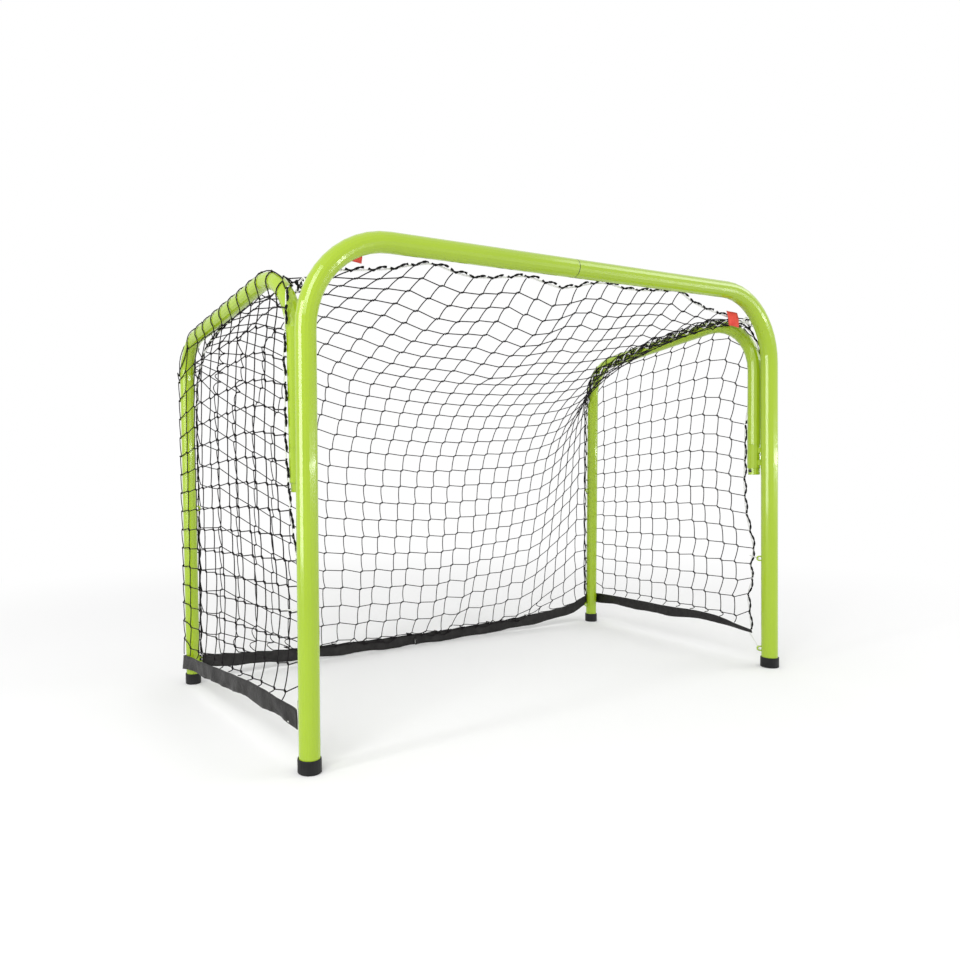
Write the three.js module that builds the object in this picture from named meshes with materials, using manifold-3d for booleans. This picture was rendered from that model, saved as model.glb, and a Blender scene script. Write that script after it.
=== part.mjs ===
import * as THREE from 'three';
import { mergeVertices } from 'three/addons/utils/BufferGeometryUtils.js';
import Module from 'manifold-3d';

// Folding practice goal. Millimetres and degrees, +X to the right of the mouth, +Y to the back, +Z up.

// Goal mouth: the clear opening and the bent tube round it
const MOUTH_WIDTH = 1200;
const MOUTH_HEIGHT = 900;
const FRONT_TUBE_D = 38;
const FRONT_TUBE_WALL = 1.5;
const FRONT_BEND_R = 167;
const POST_SPREAD = 10.5;
const SEAM_OFFSET = -18;
const SLEEVE_LENGTH = 120;

// Side frames: one bent tube each, from the hinge over the top to the rear foot
const SIDE_TUBE_D = 32;
const SIDE_TUBE_WALL = 2;
const SIDE_DEPTH = 597;
const SIDE_TOP_DEPTH = 582.4;
const SIDE_FRONT_HEIGHT = 885.4;
const SIDE_REAR_HEIGHT = 811.8;
const SIDE_FRONT_BEND_R = 127;
const SIDE_REAR_BEND_R = 96.4;
const SIDE_OPENING_ANGLE = 3;

// Hinge: a socket on the post, and a pivot tube fixed in the foot of the side frame
const HINGE_BACKSET = 39.9;
const HINGE_OUTSET = 3;
const SOCKET_BOTTOM = 497;
const SOCKET_LENGTH = 60;
const WELD_TAB_HEIGHT = 13;
const WELD_TAB_WIDTH = 14;
const WELD_TAB_LIFTS = [7, 38];
const PIVOT_PLAY = 0.1;
const PIVOT_WALL = 2;
const PIVOT_BELOW_SOCKET = 16.5;
const PIVOT_IN_LEG_SHARE = 0.71;
const SCREW_SHANK_D = 4.2;
const SCREW_HEAD_D = 8;
const SCREW_HEAD_HEIGHT = 2.6;
const SCREW_DROP = 6.5;
const SCREW_LENGTH = 12;
const SCREW_HOLE_PLAY = 0.3;

// Foot caps: pushed over the tube ends
const CAP_WALL = 1.6;
const CAP_FLOOR = 4;
const CAP_HEIGHT = 25;
const CAP_EDGE = 1.2;

// Wire hooks that hold the border cord of the net
const HOOK_WIRE_D = 4;
const HOOK_HALF_HEIGHT = 7;
const HOOK_REACH = 11;
const HOOK_BEND_R = 4.5;
const FRONT_HOOK_HEIGHTS = [45, 272];
const REAR_HOOK_HEIGHTS = [55, 424];
const FRONT_HOOK_ANGLE = 45;
const CROSSBAR_HOOK_SHARES = [-0.284, -0.095, 0.073, 0.26];

// Main net: square cells, and how far the twines across each row reach, as rows and lengths
const MESH = 50;
const NET_CELLS = 27;
const ROW_REACHES = [[0, 44.8], [5, 46.1], [9, 48.7], [13, 49.7], [15, 50.6], [27, 50.6]];
const ROOF_ROWS = 13;
const WALL_REACH = 46.8;
const TWINE_D = 3;

// Its side edges: the rows that lie at two heights of the rear corner, and where the edge turns
const CORNER_ROWS = [[9, 802], [14, 738]];
const SEAM_CROWN = 120;
const SEAM_BEND_RS = [80, 150];
const NET_INSET = 7;
const NET_BEHIND_HOOK = 6;

// Its lower rows pile up against the hem, all but those beside the rear legs
const PILE_ROW = 24;
const PILE_FORWARD = 10;
const PILE_RISE = 16;
const PILE_START = 1;
const PILE_WIDTH = 5;

// Settling of the hanging net, per step
const SETTLE_STEPS = 800;
const SETTLE_PULLS = 4;
const SETTLE_FALL = 0.02;
const SETTLE_CALM = 0.985;

// Side nets, border cords and hem tape
const SIDE_NET_COLUMNS = 6;
const SIDE_NET_ROWS = 9;
const BORDER_CORD_D = 5;
const TIE_CORD_D = 2.6;
const BORDER_SAGS = [0, 17, 21, 10, 13];
const BORDER_END_DROP = 61;
const BORDER_END_INSET = 22;
const SLOPED_CORD_SHARE = 1.25;
const NET_FRONT_EDGE = 33;
const HEM_WIDTH = 30;
const HEM_THICKNESS = 3;
const SIDE_HEM_LIFT = 57;
const BACK_HEM_END_LIFT = 42;
const BACK_HEM_MID_LIFT = 2;
const BACK_HEM_BULGE = 26;

// Red tabs sewn to the front corners of the net
const TAB_WIDTH = 36;
const TAB_HEIGHT = 36;
const TAB_THICKNESS = 2.4;
const TAB_INSET = 104;
const TAB_LIFT_RIGHT = 16;
const TAB_LIFT_LEFT = 34;

// Clearances: between pieces that touch, and in the running fit of the hinge
const TOUCH_GAP = 0.3;
const SEAT_GAP = 0.4;

// Facets
const FRONT_SIDES = 20;
const SIDE_SIDES = 16;
const CORD_SIDES = 6;
const FRONT_BEND_STEPS = 12;
const SIDE_BEND_STEPS = 10;
const HOOK_STEPS = 3;
const HEM_STEPS = 14;
const CELL_STEP_SHARE = 0.5;

const crossbarHeight = MOUTH_HEIGHT + FRONT_TUBE_D / 2;
const halfWidth = (MOUTH_WIDTH + FRONT_TUBE_D) / 2;
const hingeX = halfWidth + HINGE_OUTSET;
const openingAngle = THREE.MathUtils.degToRad(SIDE_OPENING_ANGLE);
const sideRadius = SIDE_TUBE_D / 2;
const pivotD = SIDE_TUBE_D - 2 * SIDE_TUBE_WALL - 2 * PIVOT_PLAY;
const legBottom = SOCKET_BOTTOM + SOCKET_LENGTH + TOUCH_GAP;

const wasm = await Module();
wasm.setup();

const material = (color, roughness, metalness = 0) =>
  new THREE.MeshStandardMaterial({ color, roughness, metalness });
const greenPaint = () => material(0xb4dc32, 0.3);
const capRubber = () => material(0x1b1c1d, 0.6);
const bareSteel = () => material(0x8d9094, 0.35, 1);
const darkScrew = () => material(0x2b2c2e, 0.45, 1);
const netTwine = () => material(0x17161a, 0.85);
const hemCloth = () => material(0x1d1d20, 0.9);
const whiteCord = () => material(0xe8e8e4, 0.8);
const redCloth = () => material(0xe03a30, 0.8);

// A boolean solid needs shared corners, so the mesh is welded on its positions alone.
function toSolid(geometry) {
  const bare = geometry.clone();
  bare.deleteAttribute('normal');
  bare.deleteAttribute('uv');
  const welded = mergeVertices(bare);
  return new wasm.Manifold(new wasm.Mesh({
    numProp: 3,
    vertProperties: new Float32Array(welded.getAttribute('position').array),
    triVerts: new Uint32Array(welded.getIndex().array),
  }));
}

function toGeometry(solid) {
  const mesh = solid.getMesh();
  const geometry = new THREE.BufferGeometry();
  geometry.setAttribute('position', new THREE.BufferAttribute(mesh.vertProperties, 3));
  geometry.setIndex(new THREE.BufferAttribute(mesh.triVerts, 1));
  geometry.computeVertexNormals();
  return geometry;
}

// The left pieces are the right ones seen in a mirror, with each triangle turned to face out again.
function mirrored(geometry) {
  const copy = geometry.index ? geometry.toNonIndexed() : geometry.clone();
  const position = copy.getAttribute('position');
  const corner = new THREE.Vector3();
  const swap = new THREE.Vector3();
  for (let i = 0; i < position.count; i += 3) {
    for (let k = 0; k < 3; k++) position.setX(i + k, -position.getX(i + k));
    corner.fromBufferAttribute(position, i + 1);
    swap.fromBufferAttribute(position, i + 2);
    position.setXYZ(i + 1, swap.x, swap.y, swap.z);
    position.setXYZ(i + 2, corner.x, corner.y, corner.z);
  }
  copy.computeVertexNormals();
  return copy;
}

// A centre line that is swept only at its own samples, each a point and the direction there.
class SampledPath extends THREE.Curve {
  constructor(samples) {
    super();
    this.samples = samples;
    this.steps = samples.length - 1;
  }
  getPoint(t) { return this.samples[Math.round(t * this.steps)].point.clone(); }
  getTangent(t) { return this.samples[Math.round(t * this.steps)].tangent.clone(); }
  getUtoTmapping(u) { return u; }
}

const direction = (from, to) => to.clone().sub(from).normalize();

function pathThrough(points) {
  const last = points.length - 1;
  return new SampledPath(points.map((point, i) => ({
    point, tangent: direction(points[Math.max(i - 1, 0)], points[Math.min(i + 1, last)]),
  })));
}

// A bent tube's centre line: straight runs between corners, each corner rounded to its bend radius.
function bentPath(corners, radii, stepsPerBend) {
  const samples = [{ point: corners[0], tangent: direction(corners[0], corners[1]) }];
  corners.slice(1, -1).forEach((corner, i) => {
    const before = direction(corners[i], corner);
    const after = direction(corner, corners[i + 2]);
    const turn = before.angleTo(after);
    const toCentre = after.clone().addScaledVector(before, -Math.cos(turn)).divideScalar(Math.sin(turn));
    const start = corner.clone().addScaledVector(before, -radii[i] * Math.tan(turn / 2));
    for (let k = 0; k <= stepsPerBend; k++) {
      const angle = (turn * k) / stepsPerBend;
      samples.push({
        point: start.clone()
          .addScaledVector(before, radii[i] * Math.sin(angle))
          .addScaledVector(toCentre, radii[i] * (1 - Math.cos(angle))),
        tangent: before.clone().multiplyScalar(Math.cos(angle)).addScaledVector(toCentre, Math.sin(angle)),
      });
    }
  });
  const last = corners.length - 1;
  samples.push({ point: corners[last], tangent: direction(corners[last - 1], corners[last]) });
  return new SampledPath(samples);
}

// A round section with flats. A bore's flats touch its real radius, so a shaft of that size fits.
function roundSection(outerD, innerD, sides) {
  const ring = (radius) => Array.from({ length: sides }, (_, i) => {
    const angle = (2 * Math.PI * (i + 0.5)) / sides;
    return new THREE.Vector2(radius * Math.cos(angle), radius * Math.sin(angle));
  });
  const section = new THREE.Shape(ring(outerD / 2));
  if (innerD > 0) {
    section.holes.push(new THREE.Path(ring(innerD / 2 / Math.cos(Math.PI / sides)).reverse()));
  }
  return section;
}

function sweep(section, path) {
  return new THREE.ExtrudeGeometry(section, { steps: path.steps, extrudePath: path, curveSegments: 1 });
}

function straightTube(outerD, innerD, sides, bottom, top) {
  const geometry = new THREE.ExtrudeGeometry(roundSection(outerD, innerD, sides), {
    depth: top - bottom, bevelEnabled: false, steps: 1, curveSegments: 1,
  });
  return geometry.translate(0, 0, bottom);
}

function revolved(profile, sides) {
  const points = profile.map(([radius, height]) => new THREE.Vector2(radius, height));
  return new THREE.LatheGeometry(points, sides).rotateX(Math.PI / 2);
}

// Half of the mouth: one post, its corner bend and the crossbar as far as the seam.
function frontHalf(seamX) {
  const foot = new THREE.Vector3(halfWidth + POST_SPREAD, 0, 0);
  const corner = new THREE.Vector3(halfWidth, 0, crossbarHeight);
  const up = corner.clone().sub(foot).normalize();
  const start = foot.clone().addScaledVector(up, (CAP_FLOOR + SEAT_GAP + TOUCH_GAP) / up.z);
  const seam = new THREE.Vector3(seamX + TOUCH_GAP / 2, 0, crossbarHeight);
  const path = bentPath([start, corner, seam], [FRONT_BEND_R], FRONT_BEND_STEPS);
  const section = roundSection(FRONT_TUBE_D, FRONT_TUBE_D - 2 * FRONT_TUBE_WALL, FRONT_SIDES);
  return sweep(section, path);
}

// The inner sleeve joins the two halves at the seam.
function crossbarSleeve() {
  const outer = FRONT_TUBE_D - 2 * FRONT_TUBE_WALL - 2 * TOUCH_GAP;
  return straightTube(outer, outer - 2 * FRONT_TUBE_WALL, FRONT_SIDES, -SLEEVE_LENGTH / 2, SLEEVE_LENGTH / 2)
    .rotateY(Math.PI / 2)
    .translate(SEAM_OFFSET, 0, crossbarHeight);
}

// A cup over the tube's end. The tube leans a little, so the bore has play for that.
function footCap(tubeD, lean) {
  const bore = tubeD / 2 + TOUCH_GAP + Math.abs(lean) * CAP_HEIGHT;
  const outer = bore + CAP_WALL;
  return revolved([
    [0, 0],
    [outer - CAP_EDGE, 0],
    [outer, CAP_EDGE],
    [outer, CAP_HEIGHT - CAP_EDGE],
    [outer - CAP_EDGE / 2, CAP_HEIGHT],
    [bore, CAP_HEIGHT],
    [bore, CAP_FLOOR],
    [0, CAP_FLOOR],
  ], FRONT_SIDES);
}

// Places on a side frame: along is measured from the hinge axis to the back, out is away from the mouth.
const sidePoint = (out, along, height) => new THREE.Vector3(out, along, height);
const rearLegAlong = (height) =>
  SIDE_DEPTH + ((SIDE_TOP_DEPTH - SIDE_DEPTH) * height) / SIDE_REAR_HEIGHT;
const topBarHeight = (along) =>
  SIDE_FRONT_HEIGHT + ((SIDE_REAR_HEIGHT - SIDE_FRONT_HEIGHT) * along) / SIDE_TOP_DEPTH;

const sideCorners = [
  sidePoint(0, 0, legBottom),
  sidePoint(0, 0, SIDE_FRONT_HEIGHT),
  sidePoint(0, SIDE_TOP_DEPTH, SIDE_REAR_HEIGHT),
  sidePoint(0, rearLegAlong(CAP_FLOOR + SEAT_GAP), CAP_FLOOR + SEAT_GAP + TOUCH_GAP),
];
const sidePath = bentPath(sideCorners, [SIDE_FRONT_BEND_R, SIDE_REAR_BEND_R], SIDE_BEND_STEPS);

function sideFrame() {
  return sweep(roundSection(SIDE_TUBE_D, SIDE_TUBE_D - 2 * SIDE_TUBE_WALL, SIDE_SIDES), sidePath);
}

// Height of the tube's centre line above a place along the side frame, bends included.
function frameHeight(along) {
  const { samples } = sidePath;
  const next = samples.findIndex((sample) => sample.point.y >= along);
  if (next < 1) return samples[samples.length - 2].point.z;
  const a = samples[next - 1].point;
  const b = samples[next].point;
  return THREE.MathUtils.lerp(a.z, b.z, (along - a.y) / (b.y - a.y));
}

// The socket is a short piece of side tube with two tabs that reach to the post.
function hingeSocket() {
  const bore = SIDE_TUBE_D - 2 * SIDE_TUBE_WALL;
  const top = SOCKET_BOTTOM + SOCKET_LENGTH;
  const postX = (height) => POST_SPREAD * (1 - height / crossbarHeight) - HINGE_OUTSET;
  let solid = toSolid(straightTube(SIDE_TUBE_D, bore, SIDE_SIDES, SOCKET_BOTTOM, top));
  const borePlug = toSolid(straightTube(SIDE_TUBE_D - SIDE_TUBE_WALL, 0, SIDE_SIDES, 0, crossbarHeight));
  for (const lift of WELD_TAB_LIFTS) {
    const middle = SOCKET_BOTTOM + lift + WELD_TAB_HEIGHT / 2;
    const tab = new THREE.BoxGeometry(WELD_TAB_WIDTH, HINGE_BACKSET, WELD_TAB_HEIGHT)
      .translate(0, -HINGE_BACKSET / 2, middle);
    const post = straightTube(FRONT_TUBE_D + 2 * TOUCH_GAP, 0, FRONT_SIDES, 0, crossbarHeight)
      .translate(postX(middle), -HINGE_BACKSET, 0);
    solid = solid.add(toSolid(tab).subtract(toSolid(post)).subtract(borePlug));
  }
  return toGeometry(solid);
}

// The pivot tube is fixed in the leg, turns in the socket and is held by a screw below it.
const pivotBottom = SOCKET_BOTTOM - PIVOT_BELOW_SOCKET;
const pivotTop = THREE.MathUtils.lerp(legBottom, sidePath.samples[1].point.z, PIVOT_IN_LEG_SHARE);
const screwHeight = SOCKET_BOTTOM - SCREW_DROP;

function pivotTube() {
  const tube = toSolid(straightTube(
    pivotD, pivotD - 2 * PIVOT_WALL, SIDE_SIDES, pivotBottom, pivotTop,
  ));
  const hole = new THREE.CylinderGeometry(
    SCREW_SHANK_D / 2 + SCREW_HOLE_PLAY, SCREW_SHANK_D / 2 + SCREW_HOLE_PLAY, pivotD, SIDE_SIDES,
  ).rotateZ(Math.PI / 2).translate(-pivotD / 2, 0, screwHeight);
  return toGeometry(tube.subtract(toSolid(hole)));
}

function pivotScrew() {
  const head = SCREW_HEAD_D / 2;
  const shank = SCREW_SHANK_D / 2;
  const seat = pivotD / 2 + TOUCH_GAP;
  return revolved([
    [0, seat - SCREW_LENGTH],
    [shank, seat - SCREW_LENGTH + shank],
    [shank, seat],
    [head, seat],
    [head, seat + SCREW_HEAD_HEIGHT / 2],
    [head / 2, seat + SCREW_HEAD_HEIGHT],
    [0, seat + SCREW_HEAD_HEIGHT],
  ], SIDE_SIDES).rotateY(-Math.PI / 2).translate(0, 0, screwHeight);
}

// A U of wire with both ends on a tube. It reaches out along +X, with its legs above each other.
function wireHook(tubeD) {
  const root = tubeD / 2 + TOUCH_GAP;
  const tip = tubeD / 2 + HOOK_REACH - HOOK_WIRE_D / 2;
  const leg = HOOK_HALF_HEIGHT - HOOK_WIRE_D / 2;
  const path = bentPath([
    new THREE.Vector3(root, 0, -leg),
    new THREE.Vector3(tip, 0, -leg),
    new THREE.Vector3(tip, 0, leg),
    new THREE.Vector3(root, 0, leg),
  ], [HOOK_BEND_R, HOOK_BEND_R], HOOK_STEPS);
  return sweep(roundSection(HOOK_WIRE_D, 0, CORD_SIDES), path);
}

// A closed band between two edges, given as a list of stations along it.
function band(stations, thickness) {
  const positions = [];
  const indices = [];
  for (const { bottom, top, normal } of stations) {
    for (const [edge, side] of [[bottom, -1], [bottom, 1], [top, 1], [top, -1]]) {
      const point = edge.clone().addScaledVector(normal, (side * thickness) / 2);
      positions.push(point.x, point.y, point.z);
    }
  }
  const quad = (a, b, c, d) => indices.push(a, b, c, a, c, d);
  for (let i = 0; i < stations.length - 1; i++) {
    for (let k = 0; k < 4; k++) {
      const next = (k + 1) % 4;
      quad(4 * i + k, 4 * i + next, 4 * (i + 1) + next, 4 * (i + 1) + k);
    }
  }
  const last = 4 * (stations.length - 1);
  quad(3, 2, 1, 0);
  quad(last, last + 1, last + 2, last + 3);
  const geometry = new THREE.BufferGeometry();
  geometry.setAttribute('position', new THREE.Float32BufferAttribute(positions, 3));
  geometry.setIndex(indices);
  geometry.computeVertexNormals();
  return geometry;
}

// A net of square twine over a curved sheet. place gives the sheet's point for shares 0 to 1 both ways.
// Each knot is a small block with a twine from each of its sides to the next knot.
function netting(columns, rows, place, twine) {
  const positions = [];
  const indices = [];
  const quad = (a, b, c, d) => indices.push(a, b, c, a, c, d);
  const knot = (i, j) => 8 * (j * (columns + 1) + i);
  const step = CELL_STEP_SHARE;
  for (let j = 0; j <= rows; j++) {
    for (let i = 0; i <= columns; i++) {
      const at = (di, dj) => place(
        THREE.MathUtils.clamp(i + di, 0, columns) / columns,
        THREE.MathUtils.clamp(j + dj, 0, rows) / rows,
      );
      const across = at(step, 0).sub(at(-step, 0)).normalize();
      const down = at(0, step).sub(at(0, -step)).normalize();
      const normal = across.clone().cross(down).normalize();
      down.copy(normal).cross(across);
      const centre = at(0, 0);
      for (const n of [-1, 1]) {
        for (const [a, d] of [[-1, -1], [1, -1], [1, 1], [-1, 1]]) {
          const point = centre.clone()
            .addScaledVector(across, (a * twine) / 2)
            .addScaledVector(down, (d * twine) / 2)
            .addScaledVector(normal, (n * twine) / 2);
          positions.push(point.x, point.y, point.z);
        }
      }
    }
  }
  for (let j = 0; j <= rows; j++) {
    for (let i = 0; i <= columns; i++) {
      const k = knot(i, j);
      quad(k + 3, k + 2, k + 1, k);
      quad(k + 4, k + 5, k + 6, k + 7);
      if (i === 0) quad(k + 7, k + 3, k, k + 4);
      if (j === 0) quad(k + 4, k, k + 1, k + 5);
      if (i === columns) quad(k + 5, k + 1, k + 2, k + 6);
      else {
        const r = knot(i + 1, j);
        quad(k + 1, k + 2, r + 3, r);
        quad(k + 2, k + 6, r + 7, r + 3);
        quad(k + 6, k + 5, r + 4, r + 7);
        quad(k + 5, k + 1, r, r + 4);
      }
      if (j === rows) quad(k + 6, k + 2, k + 3, k + 7);
      else {
        const b = knot(i, j + 1);
        quad(k + 2, k + 3, b, b + 1);
        quad(k + 3, k + 7, b + 4, b);
        quad(k + 7, k + 6, b + 5, b + 4);
        quad(k + 6, k + 2, b + 1, b + 5);
      }
    }
  }
  const geometry = new THREE.BufferGeometry();
  geometry.setAttribute('position', new THREE.Float32BufferAttribute(positions, 3));
  geometry.setIndex(indices);
  geometry.computeVertexNormals();
  return geometry;
}

// The side net hangs outside the side frame, flat against its tubes, from the top bar to the hem.
const netOut = sideRadius + SEAT_GAP + TWINE_D / 2;
const hemTop = SIDE_HEM_LIFT + HEM_WIDTH;
const netRearEdge = SIDE_DEPTH + sideRadius / 2;

function sideNet() {
  const bottom = hemTop + TOUCH_GAP + TWINE_D / 2;
  const lastWhole = SIDE_NET_COLUMNS - 1;
  const columnAlong = (column) => (column < lastWhole
    ? NET_FRONT_EDGE + 2 * MESH * column
    : THREE.MathUtils.lerp(NET_FRONT_EDGE + 2 * MESH * lastWhole, netRearEdge, column - lastWhole));
  return netting(SIDE_NET_COLUMNS, SIDE_NET_ROWS, (share, drop) => {
    const along = columnAlong(SIDE_NET_COLUMNS * (1 - share));
    const top = frameHeight(along) + sideRadius / 2;
    return sidePoint(netOut, along, THREE.MathUtils.lerp(top, bottom, drop));
  }, TWINE_D);
}

function sideHem() {
  const out = sideRadius + SEAT_GAP + HEM_THICKNESS / 2;
  const ends = [netRearEdge, NET_FRONT_EDGE];
  return band(ends.map((along) => ({
    bottom: sidePoint(out, along, SIDE_HEM_LIFT),
    top: sidePoint(out, along, hemTop),
    normal: new THREE.Vector3(1, 0, 0),
  })), HEM_THICKNESS);
}

function straightCord(from, to, diameter) {
  const path = pathThrough([from, to]);
  return sweep(roundSection(diameter, 0, CORD_SIDES), path);
}

// The cord down the front edge of the side net, beside the leg.
const frontCordAlong = NET_FRONT_EDGE - TWINE_D / 2 - TOUCH_GAP - BORDER_CORD_D / 2;
const cordOffLeg = sideRadius + SEAT_GAP + BORDER_CORD_D / 2;

function sideBorderCord() {
  const top = frameHeight(frontCordAlong);
  return straightCord(
    sidePoint(cordOffLeg, frontCordAlong, SIDE_HEM_LIFT),
    sidePoint(cordOffLeg, frontCordAlong, top),
    BORDER_CORD_D,
  );
}

// The seam cord laces side net to back net along the inner side of the rear leg, beside the hooks.
const cordBesideHook = HOOK_WIRE_D / 2 + SEAT_GAP + BORDER_CORD_D / 2;

function seamCord() {
  const low = BACK_HEM_END_LIFT + HEM_WIDTH + SEAT_GAP;
  const high = sidePath.samples[sidePath.steps - 1].point.z;
  return straightCord(
    sidePoint(-cordOffLeg, rearLegAlong(low) - cordBesideHook, low),
    sidePoint(-cordOffLeg, rearLegAlong(high) - cordBesideHook, high),
    BORDER_CORD_D,
  );
}

// The front edge of the main net: tied to the crossbar's hooks and sagging between them.
const hookBack = FRONT_TUBE_D / 2 + HOOK_REACH - HOOK_WIRE_D;
const borderTop = crossbarHeight - HOOK_WIRE_D / 2 - SEAT_GAP - BORDER_CORD_D / 2;
const borderEnd = hingeX - BORDER_END_INSET;
const borderTies = [
  [-borderEnd, crossbarHeight - BORDER_END_DROP],
  ...CROSSBAR_HOOK_SHARES.map((share) => [share * 2 * halfWidth, borderTop]),
  [borderEnd, crossbarHeight - BORDER_END_DROP],
];

function borderPoint(x) {
  const next = borderTies.findIndex(([tie]) => tie >= x);
  const span = THREE.MathUtils.clamp(next - 1, 0, BORDER_SAGS.length - 1);
  const [fromX, fromZ] = borderTies[span];
  const [toX, toZ] = borderTies[span + 1];
  const t = (x - fromX) / (toX - fromX);
  const sag = 4 * t * (1 - t) * BORDER_SAGS[span];
  return new THREE.Vector3(x, hookBack, THREE.MathUtils.lerp(fromZ, toZ, t) - sag);
}

// Of the real net's twines every second one is built. One gap of an odd number is three cells wide.
const builtTwines = (wideGap) => Array.from(
  { length: (NET_CELLS + 1) / 2 }, (_, i) => 2 * i + (i > wideGap ? 1 : 0),
);
const builtColumns = builtTwines(Math.floor(NET_CELLS / 4));
const builtRows = builtTwines(Math.floor(NET_CELLS / 2) - 1);
const columnX = (column) => THREE.MathUtils.lerp(-borderEnd, borderEnd, column / NET_CELLS);

// The cord has a point at each built column and at each tie.
const borderStations = [...builtColumns.map(columnX), ...borderTies.slice(1, -1).map(([x]) => x)]
  .sort((a, b) => a - b)
  .map(borderPoint);

function frontBorderCord() {
  return sweep(roundSection(BORDER_CORD_D, 0, CORD_SIDES), pathThrough(borderStations));
}

// The back hem hangs between the rear legs and lies on the floor in the middle.
const netInset = sideRadius + SEAT_GAP + TWINE_D / 2 + NET_INSET;

function onRightSide(out, along, height) {
  const sin = Math.sin(openingAngle);
  const cos = Math.cos(openingAngle);
  const x = hingeX + out * cos + along * sin;
  return new THREE.Vector3(x, HINGE_BACKSET + along * cos - out * sin, height);
}

const hemBehindHook = (HOOK_WIRE_D + HEM_THICKNESS) / 2 + SEAT_GAP;
const hemEndAlong = Math.max(
  rearLegAlong(BACK_HEM_END_LIFT), rearLegAlong(BACK_HEM_END_LIFT + HEM_WIDTH),
);
const hemEnd = onRightSide(-sideRadius - SEAT_GAP, hemEndAlong + hemBehindHook, 0);

function hemBottom(share) {
  const middle = 1 - share * share;
  return new THREE.Vector3(
    share * hemEnd.x,
    hemEnd.y + middle * BACK_HEM_BULGE,
    THREE.MathUtils.lerp(BACK_HEM_END_LIFT, BACK_HEM_MID_LIFT, middle),
  );
}

function backHem() {
  const lift = new THREE.Vector3(0, 0, HEM_WIDTH);
  const stations = Array.from({ length: HEM_STEPS + 1 }, (_, i) => {
    const bottom = hemBottom(1 - (2 * i) / HEM_STEPS);
    return { bottom, top: bottom.clone().add(lift), normal: new THREE.Vector3(0, -1, 0) };
  });
  return band(stations, HEM_THICKNESS);
}

// The main net is roof and back in one sheet. Its side edge follows the side frame on its inner side.
const hemClearance = HEM_WIDTH + TOUCH_GAP + TWINE_D / 2;
const edgeBottom = BACK_HEM_END_LIFT + hemClearance;
const belowCord = ((BORDER_CORD_D + TWINE_D) / 2 + SEAT_GAP) * SLOPED_CORD_SHARE;

function netTop(column) {
  const point = borderPoint(columnX(column));
  point.z -= belowCord;
  return point;
}

function netBottom(column) {
  const point = hemBottom((2 * column) / NET_CELLS - 1);
  point.z += hemClearance;
  return point;
}

const edgeLine = bentPath([
  netTop(NET_CELLS),
  onRightSide(-netInset, SEAM_CROWN, topBarHeight(SEAM_CROWN)),
  onRightSide(-netInset, SIDE_TOP_DEPTH + NET_BEHIND_HOOK, SIDE_REAR_HEIGHT),
  onRightSide(-netInset, rearLegAlong(edgeBottom) + NET_BEHIND_HOOK, edgeBottom),
], SEAM_BEND_RS, SIDE_BEND_STEPS).samples.map(({ point }) => point);
const edgeLengths = edgeLine.reduce(
  (lengths, point, i) => [...lengths, i ? lengths[i - 1] + point.distanceTo(edgeLine[i - 1]) : 0], [],
);

// The value at x in a list of [x, value] in rising x.
function valueAt(list, x) {
  const next = THREE.MathUtils.clamp(list.findIndex(([at]) => at >= x), 1, list.length - 1);
  const [[fromX, from], [toX, to]] = [list[next - 1], list[next]];
  return THREE.MathUtils.lerp(from, to, (x - fromX) / (toX - fromX));
}

// The corner's rows are bunched: the edge's length at a height of the corner or the leg.
function edgeLengthAt(height) {
  const next = edgeLine.findIndex((point, i) => i > SIDE_BEND_STEPS && point.z <= height);
  const [a, b] = [edgeLine[next - 1].z, edgeLine[next].z];
  return THREE.MathUtils.lerp(edgeLengths[next - 1], edgeLengths[next], (a - height) / (a - b));
}

const rowLengths = [
  [0, 0],
  ...CORNER_ROWS.map(([row, height]) => [row, edgeLengthAt(height)]),
  [NET_CELLS, edgeLengths[edgeLengths.length - 1]],
];

function netEdge(row) {
  const length = valueAt(rowLengths, row);
  const next = THREE.MathUtils.clamp(edgeLengths.findIndex((at) => at >= length), 1, edgeLine.length - 1);
  const t = (length - edgeLengths[next - 1]) / (edgeLengths[next] - edgeLengths[next - 1]);
  return edgeLine[next - 1].clone().lerp(edgeLine[next], t);
}

// A first guess for a knot: the sheet that is spanned evenly between the net's four edges.
function spanned(column, row) {
  const [across, down] = [column / NET_CELLS, row / NET_CELLS];
  const mirror = (point) => new THREE.Vector3(-point.x, point.y, point.z);
  const drop = (at) => netTop(at).lerp(netBottom(at), down);
  const edges = mirror(netEdge(row)).lerp(netEdge(row), across);
  return edges.add(drop(column)).sub(drop(0).lerp(drop(NET_CELLS), across));
}

function firstKnot(column, row) {
  const point = spanned(column, row);
  if (row === PILE_ROW) {
    const heap = netBottom(column).add(new THREE.Vector3(0, -PILE_FORWARD, PILE_RISE));
    const fromEdge = Math.min(column, NET_CELLS - column);
    point.lerp(heap, THREE.MathUtils.clamp((fromEdge - PILE_START) / PILE_WIDTH, 0, 1));
  }
  const held = row === 0 || row === PILE_ROW || row === NET_CELLS || column === 0 || column === NET_CELLS;
  return { point, held, from: point.clone(), speed: new THREE.Vector3() };
}

const gap = new THREE.Vector3();

// Pulls the two knots of a twine together where they are further apart than it reaches.
function tighten([a, b, reach]) {
  const distance = gap.subVectors(b.point, a.point).length();
  if (distance <= reach) return;
  gap.multiplyScalar((1 - reach / distance) / (a.held || b.held ? 1 : 2));
  if (!a.held) a.point.add(gap);
  if (!b.held) b.point.sub(gap);
}

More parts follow.
